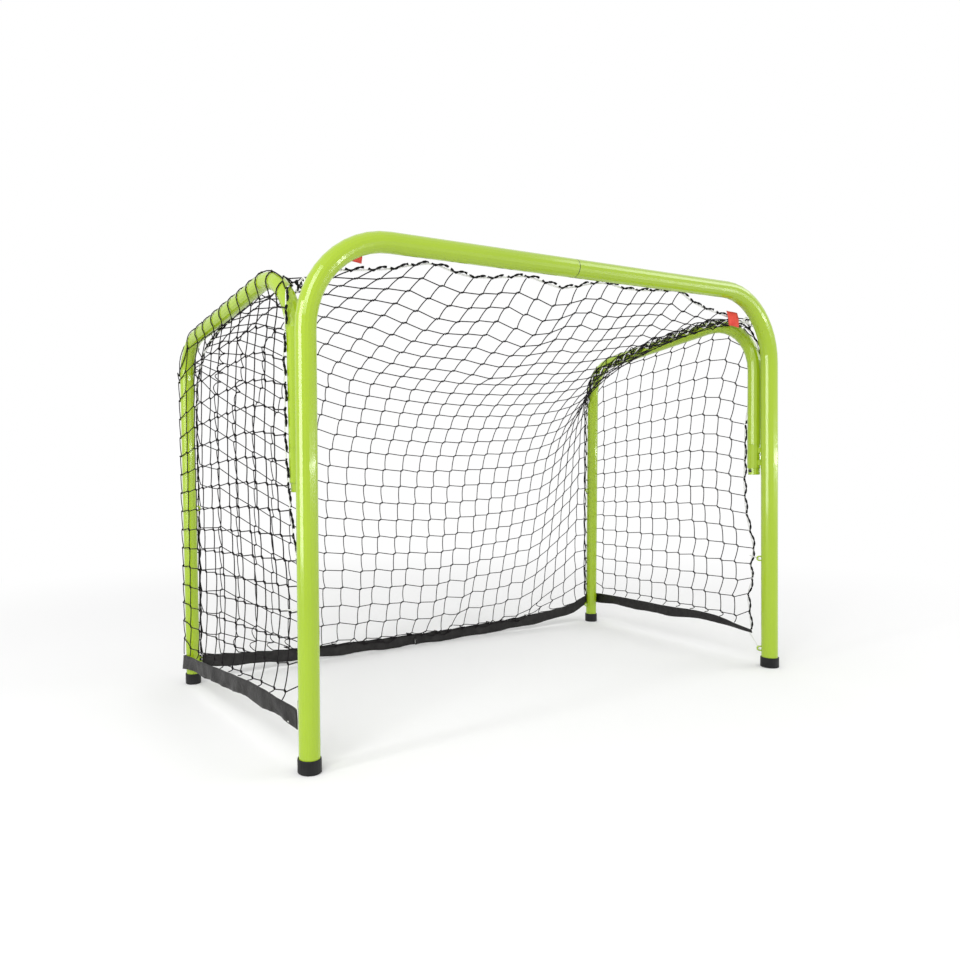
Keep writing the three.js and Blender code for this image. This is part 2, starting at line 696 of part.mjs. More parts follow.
// Twines go slack but don't stretch. Free knots fall, their twines pull them back, and the net settles.
function hangingNet() {
  const lines = Array.from({ length: NET_CELLS + 1 }, (_, i) => i);
  const knots = lines.map((column) => lines.map((row) => firstKnot(column, row)));
  const twines = [];
  for (const i of lines) {
    for (const j of lines) {
      if (i < NET_CELLS) twines.push([knots[i][j], knots[i + 1][j], valueAt(ROW_REACHES, j)]);
      if (j < NET_CELLS) twines.push([knots[i][j], knots[i][j + 1], j < ROOF_ROWS ? MESH : WALL_REACH]);
    }
  }
  const loose = twines.filter(([a, b]) => !(a.held && b.held));
  const free = knots.flat().filter(({ held }) => !held);
  for (let step = 0; step < SETTLE_STEPS; step++) {
    for (const { point, from, speed } of free) {
      from.copy(point);
      point.addScaledVector(speed, SETTLE_CALM);
      point.z -= SETTLE_FALL;
    }
    for (let pull = 0; pull < SETTLE_PULLS; pull++) loose.forEach(tighten);
    for (const { point, from, speed } of free) speed.subVectors(point, from);
  }
  return knots;
}

function backNet() {
  const knots = hangingNet();
  const realLine = (built, share) => {
    const at = share * (built.length - 1);
    const i = Math.min(Math.floor(at), built.length - 2);
    return THREE.MathUtils.lerp(built[i], built[i + 1], at - i);
  };
  const knotAt = (column, row) => {
    const [i, j] = [Math.min(Math.floor(column), NET_CELLS - 1), Math.min(Math.floor(row), NET_CELLS - 1)];
    const side = (k) => knots[k][j].point.clone().lerp(knots[k][j + 1].point, row - j);
    return side(i).lerp(side(i + 1), column - i);
  };
  return netting(builtColumns.length - 1, builtRows.length - 1, (across, down) => (
    knotAt(realLine(builtColumns, across), realLine(builtRows, down))
  ), TWINE_D);
}

// A red tab sewn over the border cord at each front corner of the net. Its top is lift above the cord.
function cornerTab(x, lift) {
  const next = borderStations.findIndex((station) => station.x >= x);
  const [from, to] = [borderStations[next - 1], borderStations[next]];
  const cord = from.clone().lerp(to, (x - from.x) / (to.x - from.x));
  const y = hookBack - BORDER_CORD_D / 2 - SEAT_GAP - TAB_THICKNESS / 2;
  return new THREE.BoxGeometry(TAB_WIDTH, TAB_THICKNESS, TAB_HEIGHT)
    .translate(x, y, cord.z + lift - TAB_HEIGHT / 2);
}

// A tie goes through a hook on the post and on to the cord at the front edge of the side net.
function frontTie(height) {
  const angle = THREE.MathUtils.degToRad(FRONT_HOOK_ANGLE);
  const reach = FRONT_TUBE_D / 2 + HOOK_REACH - HOOK_WIRE_D - TIE_CORD_D / 2 - SEAT_GAP;
  const postX = halfWidth + POST_SPREAD * (1 - height / crossbarHeight);
  const inHook = new THREE.Vector3(postX - reach * Math.cos(angle), reach * Math.sin(angle), height);
  const toCord = frontCordAlong - BORDER_CORD_D / 2 - TIE_CORD_D / 4 - SEAT_GAP;
  const to = onRightSide(cordOffLeg, toCord, Math.max(height, SIDE_HEM_LIFT + HEM_WIDTH / 2));
  const from = inHook.clone().addScaledVector(direction(inHook, to), -HOOK_WIRE_D);
  return straightCord(from, to, TIE_CORD_D);
}

const goal = new THREE.Group();
const rightSide = new THREE.Group();
const leftSide = new THREE.Group();
rightSide.position.set(hingeX, HINGE_BACKSET, 0);
leftSide.position.set(-hingeX, HINGE_BACKSET, 0);
rightSide.rotation.z = -openingAngle;
leftSide.rotation.z = openingAngle;
goal.add(rightSide, leftSide);

function addPiece(group, name, geometry, finish) {
  const mesh = new THREE.Mesh(geometry, finish());
  mesh.name = name;
  group.add(mesh);
  return mesh;
}

function addPair(rightGroup, leftGroup, name, geometry, finish) {
  addPiece(rightGroup, `${name}_right`, geometry, finish);
  addPiece(leftGroup, `${name}_left`, mirrored(geometry), finish);
}

addPiece(goal, 'front_frame_right', frontHalf(SEAM_OFFSET), greenPaint);
addPiece(goal, 'front_frame_left', mirrored(frontHalf(-SEAM_OFFSET)), greenPaint);
addPiece(goal, 'crossbar_sleeve', crossbarSleeve(), bareSteel);

const postLean = POST_SPREAD / crossbarHeight;
const frontCap = footCap(FRONT_TUBE_D, postLean).translate(halfWidth + POST_SPREAD, 0, 0);
addPair(goal, goal, 'front_foot_cap', frontCap, capRubber);

addPair(rightSide, leftSide, 'side_frame', sideFrame(), greenPaint);
const legLean = (SIDE_DEPTH - SIDE_TOP_DEPTH) / SIDE_REAR_HEIGHT;
const rearCap = footCap(SIDE_TUBE_D, legLean).translate(0, SIDE_DEPTH, 0);
addPair(rightSide, leftSide, 'rear_foot_cap', rearCap, capRubber);

const socket = hingeSocket().translate(hingeX, HINGE_BACKSET, 0);
addPair(goal, goal, 'hinge_socket', socket, greenPaint);
addPair(rightSide, leftSide, 'pivot_tube', pivotTube(), greenPaint);
addPair(rightSide, leftSide, 'pivot_screw', pivotScrew(), darkScrew);

FRONT_HOOK_HEIGHTS.forEach((height, i) => {
  const postX = halfWidth + POST_SPREAD * (1 - height / crossbarHeight);
  const hook = wireHook(FRONT_TUBE_D)
    .rotateZ(Math.PI - THREE.MathUtils.degToRad(FRONT_HOOK_ANGLE))
    .translate(postX, 0, height);
  addPair(goal, goal, `front_hook_${i + 1}`, hook, greenPaint);
  addPair(goal, goal, `front_tie_${i + 1}`, frontTie(height), whiteCord);
});
REAR_HOOK_HEIGHTS.forEach((height, i) => {
  const hook = wireHook(SIDE_TUBE_D).rotateZ(Math.PI).translate(0, rearLegAlong(height), height);
  addPair(rightSide, leftSide, `rear_hook_${i + 1}`, hook, greenPaint);
});
CROSSBAR_HOOK_SHARES.forEach((share, i) => {
  const hook = wireHook(FRONT_TUBE_D).rotateY(-Math.PI / 2).rotateX(-Math.PI / 2)
    .translate(share * 2 * halfWidth, 0, crossbarHeight);
  addPiece(goal, `crossbar_hook_${i + 1}`, hook, greenPaint);
});

addPair(rightSide, leftSide, 'side_net', sideNet(), netTwine);
addPair(rightSide, leftSide, 'side_hem', sideHem(), hemCloth);
addPair(rightSide, leftSide, 'side_border_cord', sideBorderCord(), netTwine);
addPair(rightSide, leftSide, 'seam_cord', seamCord(), netTwine);
addPiece(goal, 'corner_tab_right', cornerTab(halfWidth - TAB_INSET, TAB_LIFT_RIGHT), redCloth);
addPiece(goal, 'corner_tab_left', cornerTab(TAB_INSET - halfWidth, TAB_LIFT_LEFT), redCloth);
addPiece(goal, 'back_net', backNet(), netTwine);
addPiece(goal, 'back_hem', backHem(), hemCloth);
addPiece(goal, 'front_border_cord', frontBorderCord(), netTwine);

// The origin is on the floor, under the middle of the goal's box.
goal.updateMatrixWorld(true);
const box = new THREE.Box3().setFromObject(goal, true);
goal.position.y = -(box.min.y + box.max.y) / 2;

export default goal;
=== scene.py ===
# %% [markdown]
# # Folding practice goal
#
# The steel of the goal comes ready made from the CAD model. This lesson adds what a CAD model leaves
# out: the paint, the black net with its thousand knots, the ropes at its edges, the tape at its foot and
# the light. It runs from top to bottom in about ten seconds, and each step prints what it made.

# %% Frame
import math

import bpy
import numpy as np
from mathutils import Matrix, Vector


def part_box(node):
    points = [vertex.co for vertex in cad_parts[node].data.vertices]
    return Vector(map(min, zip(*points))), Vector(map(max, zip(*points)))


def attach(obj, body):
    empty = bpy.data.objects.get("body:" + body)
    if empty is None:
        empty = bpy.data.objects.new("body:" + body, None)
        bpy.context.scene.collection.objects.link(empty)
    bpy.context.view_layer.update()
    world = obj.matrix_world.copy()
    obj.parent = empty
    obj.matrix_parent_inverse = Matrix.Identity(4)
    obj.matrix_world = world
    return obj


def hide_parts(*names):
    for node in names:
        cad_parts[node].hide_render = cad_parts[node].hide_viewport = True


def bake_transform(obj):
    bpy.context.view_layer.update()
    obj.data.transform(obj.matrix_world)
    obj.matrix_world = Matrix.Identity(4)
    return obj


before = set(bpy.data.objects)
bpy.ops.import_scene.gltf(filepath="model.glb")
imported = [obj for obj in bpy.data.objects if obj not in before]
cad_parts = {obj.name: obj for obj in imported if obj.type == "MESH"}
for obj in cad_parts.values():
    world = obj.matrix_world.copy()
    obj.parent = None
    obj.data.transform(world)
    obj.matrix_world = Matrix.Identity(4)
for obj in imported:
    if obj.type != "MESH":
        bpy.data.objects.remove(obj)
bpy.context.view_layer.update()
scene = bpy.context.scene
MM = 0.001
SIDES = {"right": 1, "left": -1}

foot = np.mean(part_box("front_foot_cap_right"), axis=0)
hinge = np.mean(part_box("pivot_tube_right"), axis=0)
mouth_y = foot[1]
print("the mouth stands at y", round(mouth_y, 4), "and the right hinge at", np.round(hinge[:2], 4))

# %% [markdown]
# ## Camera
#
# The camera comes first, because every later choice is judged from where the photographer stood. The
# goal was photographed from the left, in front, at about half the goal's height above the floor. The
# picture is a crop of a larger one, so the lens is shifted a little sideways, as an architect's shift
# lens would be. Its place is counted from the middle of the mouth, on the floor.

# %% Camera
CAMERA_PLACE = (-1.15249, -1.19369, 0.53491)
CAMERA_TURN = (87.4603, 0.9690, -28.7120)
LENS = 28.788
LENS_SHIFT = (0.11327, 0.01408)

camera = bpy.data.objects.new("camera", bpy.data.cameras.new("camera"))
camera.location = np.array(CAMERA_PLACE) + [0, mouth_y, 0]
camera.rotation_euler = [math.radians(turn) for turn in CAMERA_TURN]
camera.data.lens = LENS
camera.data.shift_x, camera.data.shift_y = LENS_SHIFT
scene.collection.objects.link(camera)
scene.camera = camera
scene.view_settings.view_transform = "Standard"
print("camera at", np.round(camera.location, 3))

# %% [markdown]
# ## Floor and light
#
# Shops photograph such a goal on seamless white paper. A wide pale floor, which turns plain white away
# from the goal, and an even white sky do the same here. A gloss surface mirrors its lamps, so the lamps'
# shape is what one sees on it. A large soft lamp from the left above lights the tubes. A tall narrow one
# at the left and a low flat one in front draw the bright lines that run along them, and a weak one from
# the right keeps their far sides from going dull.

# %% Floor
FLOOR_SIZE = 40
FLOOR_COLOUR = (0.93, 0.93, 0.93, 1)
FLOOR_ROUGHNESS = 0.9
# The paper starts to glow at the first distance from the goal's middle, and is plain white at the second
FLOOR_FADE = (0.7, 2.6)


def new_material(name):
    """A material, with its nodes and its shader."""
    material = bpy.data.materials.new(name)
    material.use_nodes = True
    return material, material.node_tree, material.node_tree.nodes["Principled BSDF"]


bpy.ops.mesh.primitive_plane_add(size=FLOOR_SIZE)
floor = bpy.context.object
floor.name = "floor"

paper, tree, shader = new_material("paper")
shader.inputs["Base Color"].default_value = FLOOR_COLOUR
shader.inputs["Roughness"].default_value = FLOOR_ROUGHNESS
floor.data.materials.append(paper)
glow = tree.nodes.new("ShaderNodeEmission")
fade = tree.nodes.new("ShaderNodeMixShader")
place = tree.nodes.new("ShaderNodeTexCoord")
distance = tree.nodes.new("ShaderNodeVectorMath")
distance.operation = "LENGTH"
faded = tree.nodes.new("ShaderNodeMapRange")
faded.interpolation_type = "SMOOTHSTEP"
faded.inputs["From Min"].default_value, faded.inputs["From Max"].default_value = FLOOR_FADE
tree.links.new(place.outputs["Object"], distance.inputs[0])
tree.links.new(distance.outputs["Value"], faded.inputs["Value"])
tree.links.new(faded.outputs["Result"], fade.inputs["Fac"])
tree.links.new(shader.outputs["BSDF"], fade.inputs[1])
tree.links.new(glow.outputs["Emission"], fade.inputs[2])
tree.links.new(fade.outputs["Shader"], tree.nodes["Material Output"].inputs["Surface"])
print("floor:", FLOOR_SIZE, "m of paper")

# %% Sky
SKY_COLOUR = (1, 1, 1, 1)
# How much the sky lights the goal, and how bright it looks itself and in the paint
SKY_LIGHT = 0.75
SKY_SEEN = 1.0


def math_node(tree, operation, *values):
    """The result of a sum. Each value is a number or the output of another node."""
    node = tree.nodes.new("ShaderNodeMath")
    node.operation = operation
    for socket, value in zip(node.inputs, values):
        if isinstance(value, bpy.types.NodeSocket):
            tree.links.new(value, socket)
        else:
            socket.default_value = value
    return node.outputs["Value"]


world = bpy.data.worlds.new("studio")
world.use_nodes = True
scene.world = world
sky = world.node_tree
lit = sky.nodes["Background"]
seen = sky.nodes.new("ShaderNodeBackground")
for background, strength in ((lit, SKY_LIGHT), (seen, SKY_SEEN)):
    background.inputs["Color"].default_value = SKY_COLOUR
    background.inputs["Strength"].default_value = strength
ray = sky.nodes.new("ShaderNodeLightPath")
looks = math_node(sky, "MAXIMUM", ray.outputs["Is Camera Ray"], ray.outputs["Is Glossy Ray"])
looks = math_node(sky, "MAXIMUM", looks, ray.outputs["Is Transmission Ray"])
choose = sky.nodes.new("ShaderNodeMixShader")
sky.links.new(looks, choose.inputs["Fac"])
sky.links.new(lit.outputs["Background"], choose.inputs[1])
sky.links.new(seen.outputs["Background"], choose.inputs[2])
sky.links.new(choose.outputs["Shader"], sky.nodes["World Output"].inputs["Surface"])
print("sky:", SKY_LIGHT, "as light and", SKY_SEEN, "as seen")

# %% Lamps
# Each lamp: place, power in watts, width and height
LAMPS = {
    "key": ((-2.6, -2.2, 3.0), 60, 1.8, 1.8),
    "strip": ((-3.2, -0.5, 1.1), 22, 0.3, 2.2),
    "low strip": ((1.6, -2.4, 0.5), 12, 2.8, 0.06),
    "fill": ((2.8, -1.5, 2.4), 18, 1.5, 1.5),
}
AIM = Vector((0, 0, 0.45))

for name, (place, power, width, height) in LAMPS.items():
    lamp = bpy.data.lights.new(name, "AREA")
    lamp.shape = "RECTANGLE"
    lamp.energy, lamp.size, lamp.size_y = power, width, height
    lamp_object = bpy.data.objects.new(name, lamp)
    lamp_object.location = place
    lamp_object.rotation_euler = (AIM - Vector(place)).to_track_quat("-Z", "Y").to_euler()
    scene.collection.objects.link(lamp_object)
print("lamps:", ", ".join(LAMPS))

# %% [markdown]
# ## Materials
#
# Powder coat is melted plastic: glossy, with the faint dimples of an orange's skin. The dimples are noise
# in the object's own coordinates, so they stay with the tube when it folds. Twine and rope are twisted
# from strands. Their meshes carry a UV map whose U is the length along the cord and whose V goes once
# round it, so a sine of U plus V is exactly the strands' spiral.

# %% Material helpers
# The noise values below and above which a colour range has reached its ends
RAMP_ENDS = (0.3, 0.7)


def noise(tree, scale, detail):
    """Noise in the object's own coordinates. The scale is in bumps per metre."""
    place = tree.nodes.new("ShaderNodeTexCoord")
    texture = tree.nodes.new("ShaderNodeTexNoise")
    texture.inputs["Scale"].default_value = scale
    texture.inputs["Detail"].default_value = detail
    tree.links.new(place.outputs["Object"], texture.inputs["Vector"])
    return texture.outputs["Fac"]


def vary_colour(tree, shader, factor, dark, light):
    """Colours a shader between two colours, chosen by a factor from 0 to 1."""
    ramp = tree.nodes.new("ShaderNodeValToRGB")
    for end, place, colour in zip(ramp.color_ramp.elements, RAMP_ENDS, (dark, light)):
        end.position = place
        end.color = (*colour, 1)
    tree.links.new(factor, ramp.inputs["Fac"])
    tree.links.new(ramp.outputs["Color"], shader.inputs["Base Color"])


def vary(tree, factor, low, high):
    """Maps a factor from 0 to 1 onto a range."""
    spread = tree.nodes.new("ShaderNodeMapRange")
    spread.inputs["To Min"].default_value = low
    spread.inputs["To Max"].default_value = high
    tree.links.new(factor, spread.inputs["Value"])
    return spread.outputs["Result"]


def add_bump(tree, shader, height, depth):
    """Adds a bump of a depth in metres, over any bump that the shader has already."""
    bump = tree.nodes.new("ShaderNodeBump")
    bump.inputs["Strength"].default_value = 1
    bump.inputs["Distance"].default_value = depth
    tree.links.new(height, bump.inputs["Height"])
    if shader.inputs["Normal"].links:
        tree.links.new(shader.inputs["Normal"].links[0].from_socket, bump.inputs["Normal"])
    tree.links.new(bump.outputs["Normal"], shader.inputs["Normal"])


def noisy_material(name, colour, roughness, bumps, settings):
    """A material whose colour, roughness and bumps follow noise, with its nodes and its shader."""
    material, tree, shader = new_material(name)
    vary_colour(tree, shader, noise(tree, *colour[:2]), *colour[2:])
    tree.links.new(vary(tree, noise(tree, *roughness[:2]), *roughness[2:]), shader.inputs["Roughness"])
    for scale, detail, depth in bumps:
        add_bump(tree, shader, noise(tree, scale, detail), depth)
    for setting, value in settings.items():
        shader.inputs[setting].default_value = value
    return material, tree, shader


def map_axes(tree, kind, output):
    """The X and Y outputs of a map: the object's own coordinates, or the UV map."""
    place = tree.nodes.new(kind)
    split = tree.nodes.new("ShaderNodeSeparateXYZ")
    tree.links.new(place.outputs[output], split.inputs["Vector"])
    return split.outputs["X"], split.outputs["Y"]


print("noise and bumps are ready")

# %% Paint, rubber and plated steel
# Each line but the last starts with its noise's bumps per metre and detail. Then come two colours, two
# roughnesses or the bumps' depth in metres. The paint's bumps are its orange skin and the tube's long waves
PAINT = {
    "colour": (3, 3, (0.305, 0.455, 0.008), (0.345, 0.50, 0.013)),
    "roughness": (60, 4, 0.16, 0.24),
    "bumps": ((420, 2, 0.00003), (30, 1, 0.00012)),
    "settings": {"Coat Weight": 0.3, "Coat Roughness": 0.06},
}
RUBBER = {
    "colour": (40, 4, (0.004, 0.004, 0.005), (0.014, 0.014, 0.015)),
    "roughness": (150, 3, 0.38, 0.62),
    "bumps": ((1400, 3, 0.00008),),
    "settings": {"Specular IOR Level": 0.25},
}
# Painted shade of the gap where the halves of the crossbar meet: half the width of its dark line, and its
# colour
GAP_SHADE_HALF = 0.9 * MM
GAP_SHADE_COLOUR = (0.02, 0.03, 0.002, 1)


def mouth_paint(joint):
    """The paint, with painted shade in a thin dark line at the joint, an x in metres, where the halves of
    the tube meet.
    """
    material, tree, shader = noisy_material("lime powder coat of the mouth", **PAINT)
    along, _ = map_axes(tree, "ShaderNodeTexCoord", "Object")
    # Painted shade: the paint turns dark in a thin band round the joint
    gap = tree.nodes.new("ShaderNodeMix")
    gap.data_type = "RGBA"
    tree.links.new(math_node(tree, "COMPARE", along, joint, GAP_SHADE_HALF), gap.inputs["Factor"])
    tree.links.new(shader.inputs["Base Color"].links[0].from_socket, gap.inputs[6])
    gap.inputs[7].default_value = GAP_SHADE_COLOUR
    tree.links.new(gap.outputs[2], shader.inputs["Base Color"])
    return material


def plated_steel(name, dark, light, low, high):
    """Bare metal between two colours and two roughnesses."""
    colour, roughness = (90, 4, dark, light), (300, 4, low, high)
    return noisy_material(name, colour, roughness, ((900, 2, 0.00005),), {"Metallic": 1})[0]


crossbar_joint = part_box("front_frame_left")[1][0]
print("the halves of the mouth meet at x", round(crossbar_joint, 4))

# %% Cords and cloth
CORD_ROUGHNESS = 0.75
# Fibres per metre, and their share of the strands' depth
FIBRES = (2500, 0.3)
# The creases' bumps per metre, detail and depth in metres
CLOTH_CREASES = (120, 4, 0.0009)
THREAD_DEPTH = 0.0002
# The rubbed and the dull places of a cloth, as shares of its roughness
GLOSS_SHARES = (0.75, 1.1)


def twisted_cord(name, dark, light, pitch, strands, depth, shine=0.5):
    """Strands that spiral round a cord. The pitch is one strand's turn along the cord, in metres."""
    material, tree, shader = new_material(name)
    along, around = map_axes(tree, "ShaderNodeUVMap", "UV")
    turn = math_node(tree, "MULTIPLY_ADD", along, 1 / pitch, around)
    wave = math_node(tree, "SINE", math_node(tree, "MULTIPLY", turn, math.pi * strands))
    strand = math_node(tree, "ABSOLUTE", wave)
    # Painted shade: the colour is darker in the grooves between the strands and lighter on their crowns
    vary_colour(tree, shader, strand, dark, light)
    shader.inputs["Roughness"].default_value = CORD_ROUGHNESS
    shader.inputs["Specular IOR Level"].default_value = shine
    add_bump(tree, shader, strand, depth)
    add_bump(tree, shader, noise(tree, FIBRES[0], 2), depth * FIBRES[1])
    return material


def woven_cloth(name, dark, light, thread, roughness, shine=0.5):
    """Plain weave: two sets of threads cross in UV space, whose units are metres."""
    low, high = (share * roughness for share in GLOSS_SHARES)
    colour, sheen = (70, 5, dark, light), {"Specular IOR Level": shine}
    material, tree, shader = noisy_material(name, colour, (45, 3, low, high), (CLOTH_CREASES,), sheen)
    warp, weft = (
        math_node(tree, "SINE", math_node(tree, "MULTIPLY", axis, math.pi / thread))
        for axis in map_axes(tree, "ShaderNodeUVMap", "UV")
    )
    weave = vary(tree, math_node(tree, "MULTIPLY", warp, weft), 0.5, 1.0)
    add_bump(tree, shader, weave, THREAD_DEPTH)
    return material


# A cord: two colours, pitch, strands, depth and shine. A cloth: two colours, thread, roughness and shine
MATERIALS = {
    "green_paint": noisy_material("lime powder coat", **PAINT)[0],
    "mouth_paint": mouth_paint(crossbar_joint),
    "black_rubber": noisy_material("moulded rubber", **RUBBER)[0],
    "bare_steel": plated_steel("zinc plated steel", (0.28, 0.28, 0.29), (0.50, 0.50, 0.51), 0.21, 0.42),
    "dark_screw": plated_steel("blackened screw", (0.03, 0.03, 0.033), (0.08, 0.08, 0.085), 0.28, 0.56),
    "net_twine": twisted_cord(
        "net twine", (0.003, 0.002, 0.003), (0.014, 0.011, 0.013), 0.005, 3, 0.0004, 0.15),
    "border_cord": twisted_cord(
        "border cord", (0.002, 0.002, 0.002), (0.012, 0.012, 0.013), 0.009, 3, 0.0007, 0.15),
    "white_cord": twisted_cord("white cord", (0.72, 0.72, 0.70), (0.92, 0.92, 0.90), 0.010, 3, 0.0004),
    "hem_cloth": woven_cloth(
        "hem tape", (0.004, 0.0035, 0.0035), (0.016, 0.0145, 0.014), 0.0009, 0.5, 0.3),
    "red_cloth": woven_cloth("red tape", (0.62, 0.035, 0.025), (0.85, 0.09, 0.06), 0.0008, 0.75),
}
print(len(MATERIALS), "materials")

# %% [markdown]
# ## Steel, caps and screws
#
# The CAD nodes keep their shape. Smooth shading with a limit on the angle hides the facets of the round
# tubes and keeps their cut ends and the edges of the caps crisp.

# %% Steel, caps and screws
SMOOTH_ANGLE = math.radians(40)
SOFT_NODES = ("net", "hem", "cord", "tie", "tab")
NODE_SLOTS = {
    "front_frame": "mouth_paint", "foot_cap": "black_rubber", "screw": "dark_screw", "sleeve": "bare_steel",
}


def repaint(node, slot):
    """Gives a CAD node one of the materials."""
    node.data.materials.clear()
    node.data.materials.append(MATERIALS[slot])


steel = [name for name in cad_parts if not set(SOFT_NODES) & set(name.split("_"))]
for name in steel:
    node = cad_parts[name]
    repaint(node, next((slot for word, slot in NODE_SLOTS.items() if word in name), "green_paint"))
    node.data.shade_smooth()
    node.modifiers.new("smooth by angle", "EDGE_SPLIT").split_angle = SMOOTH_ANGLE
print("steel nodes:", len(steel))

# %% [markdown]
# ## Where things are on a side frame
#
# Each side frame stands turned outward by three degrees about its hinge. Its own places are simple to
# say, as (out, along, height): out from the mouth's middle, back along the frame, and up. One function
# turns them into places of the goal. Another gives smooth lines through a few places, evenly spaced, for
# ropes and net edges.

# %% Places on a side frame
OPENING_ANGLE = math.radians(3)
SIDE_TUBE_RADIUS = 16 * MM
SIDE_CORNERS = ((0, 500 * MM), (0, 885.4 * MM), (582.4 * MM, 811.8 * MM), (597 * MM, 0))
SIDE_BENDS = (127 * MM, 96.4 * MM)
BEND_STEPS = 12
SMOOTH_STEPS = 12


def on_side(side, places):
    """(out, along, height) of a side frame as places of the goal."""
    out, along, height = np.moveaxis(np.asarray(places, float), -1, 0)
    sine, cosine = math.sin(OPENING_ANGLE), math.cos(OPENING_ANGLE)
    x = hinge[0] + out * cosine + along * sine
    y = hinge[1] + along * cosine - out * sine
    return np.stack([SIDES[side] * x, y, height], axis=-1)


def unit(vectors):
    """The vectors with a length of one."""
    return vectors / np.maximum(np.linalg.norm(vectors, axis=-1, keepdims=True), 1e-9)


def distances(line):
    """How far along a line each of its points is."""
    return np.r_[0, np.cumsum(np.linalg.norm(np.diff(line, axis=0), axis=1))]


def evenly(line, shares):
    """Places on a line of points at shares of its length."""
    line = np.asarray(line, float)
    reach = distances(line)
    return np.stack([np.interp(np.asarray(shares) * reach[-1], reach, axis) for axis in line.T], axis=-1)


def spaced(line, cells):
    """Evenly spaced places from end to end of a line, with a number of cells between them."""
    return evenly(line, np.linspace(0, 1, cells + 1))


def smooth_line(points, steps=SMOOTH_STEPS):
    """A curve that passes through every point."""
    points = np.asarray(points, float)
    ends = np.vstack([2 * points[0] - points[1], points, 2 * points[-1] - points[-2]])
    t = np.linspace(0, 1, steps, endpoint=False)[:, None]
    pieces = []
    for a, b, c, d in zip(ends, ends[1:], ends[2:], ends[3:]):
        cubic = 3 * (b - c) + d - a
        pieces.append(b + 0.5 * t * (c - a + t * (2 * a - 5 * b + 4 * c - d + t * cubic)))
    return np.vstack([*pieces, points[-1]])


def drawn(places):
    """A smooth line through places that are given in millimetres."""
    return smooth_line(np.array(places) * MM)


def bent_tube(corners, bends):
    """A tube's centre line, with each corner rounded to its bend radius."""
    corners = [np.array(corner, float) for corner in corners]
    line = [corners[0]]
    for before, corner, after, radius in zip(corners, corners[1:], corners[2:], bends):
        back = (before - corner) / np.linalg.norm(before - corner)
        on = (after - corner) / np.linalg.norm(after - corner)
        half = math.acos(np.clip(back @ on, -1, 1)) / 2
        middle = (back + on) / np.linalg.norm(back + on)
        centre = corner + middle * radius / math.sin(half)
        start, end = (corner + way * radius / math.tan(half) - centre for way in (back, on))
        turn = math.pi - 2 * half
        for share in np.arange(BEND_STEPS + 1) / BEND_STEPS:
            spoke = math.sin((1 - share) * turn) * start + math.sin(share * turn) * end
            line.append(centre + spoke / math.sin(turn))
    return np.array([*line, corners[-1]])


tube_line = bent_tube(SIDE_CORNERS, SIDE_BENDS)
print("side tube:", round(distances(tube_line)[-1], 3), "m of centre line")

# %% [markdown]
# ## A net that hangs
#
# A net is a grid of knots joined by twines that can bend and go slack but can't stretch. Gravity pulls
# each knot down a little, then each twine that has become too long pulls its two knots together, and this
# repeats until nothing moves. So the net finds the photographed sag by itself, once its edges are held
# where the photo shows them. Every second twine is done at one go, so that the work is done on whole
# arrays at once.

# %% Net solver
# In each step a knot keeps a share of its speed and falls a little, in metres. Then its twines pull
FALL = 0.00002
CALM = 0.985
PULLS = 4
NET_STEPS = 1500


def pull_together(near, far, near_free, far_free, length):
    """Moves the two ends of each twine that is longer than its length."""
    gap = far - near
    reach = np.linalg.norm(gap, axis=-1, keepdims=True)
    excess = np.maximum(reach - length[..., None], 0) / np.maximum(reach, 1e-9)
    share = np.maximum(near_free + far_free, 1)[..., None]
    near += gap * excess * near_free[..., None] / share
    far -= gap * excess * far_free[..., None] / share


def hang(knots, held, across, down, keep_out):
    """Lets a grid of knots settle. across and down are twine lengths, keep_out clears what is solid."""
    knots = knots.copy()
    fixed = knots.copy()
    free = np.where(held, 0.0, 1.0)
    speed = np.zeros_like(knots)
    for _ in range(NET_STEPS):
        before = knots.copy()
        knots += speed * CALM
        knots[..., 2] -= FALL
        knots[held] = fixed[held]
        for _ in range(PULLS):
            for first in (0, 1):
                half = slice(first, None, 2)
                near, far = knots[:-1][half], knots[1:][half]
                pull_together(near, far, free[:-1][half], free[1:][half], across[half])
                near, far = knots[:, :-1][:, half], knots[:, 1:][:, half]
                pull_together(near, far, free[:, :-1][:, half], free[:, 1:][:, half], down[:, half])
        knots = np.where(held[..., None], knots, keep_out(knots))
        speed = knots - before
    print("  last move", f"{np.abs(speed).max():.1e}", "m")
    return knots


def patch(top, bottom, first, last):
    """A grid of knots between four edges, as a first guess for the net."""
    s = np.linspace(0, 1, len(top))[:, None, None]
    t = np.linspace(0, 1, len(first))[None, :, None]
    sides = (1 - s) * first[None] + s * last[None]
    ends = (1 - t) * top[:, None] + t * bottom[:, None]
    corners = (1 - s) * ((1 - t) * top[0] + t * bottom[0]) + s * ((1 - t) * top[-1] + t * bottom[-1])
    return sides + ends - corners


def from_table(table, places):
    """The values of a table of millimetres, in metres, also between its entries."""
    return np.interp(places, list(table), list(table.values())) * MM


print("a net settles in", NET_STEPS, "steps")

# %% [markdown]
# ## Twine, rope and knots as meshes
#
# Each twine is a thin tube. Its rings stand square to the line that it follows. One helper turns whole
# stacks of lines into a single mesh, because a thousand separate objects would be slow, and writes the UV
# map that the twisted materials need. Another makes the mesh of a strip of cloth.


# %% Cord and cloth meshes
def ring_corners(lines, radius, sides):
    """Corners of round tubes along a stack of lines: line, point, corner, xyz."""
    way = unit(np.gradient(lines, axis=1))
    spread = np.einsum("lpi,lpj->lij", way, way)
    flat = np.linalg.eigh(spread)[1][:, :, 0][:, None, :]
    one = unit(flat - (flat * way).sum(-1, keepdims=True) * way)
    other = np.cross(way, one)
    turn = 2 * math.pi * np.arange(sides) / sides
    circle = np.cos(turn)[:, None] * one[:, :, None, :] + np.sin(turn)[:, None] * other[:, :, None, :]
    return lines[:, :, None, :] + radius * circle


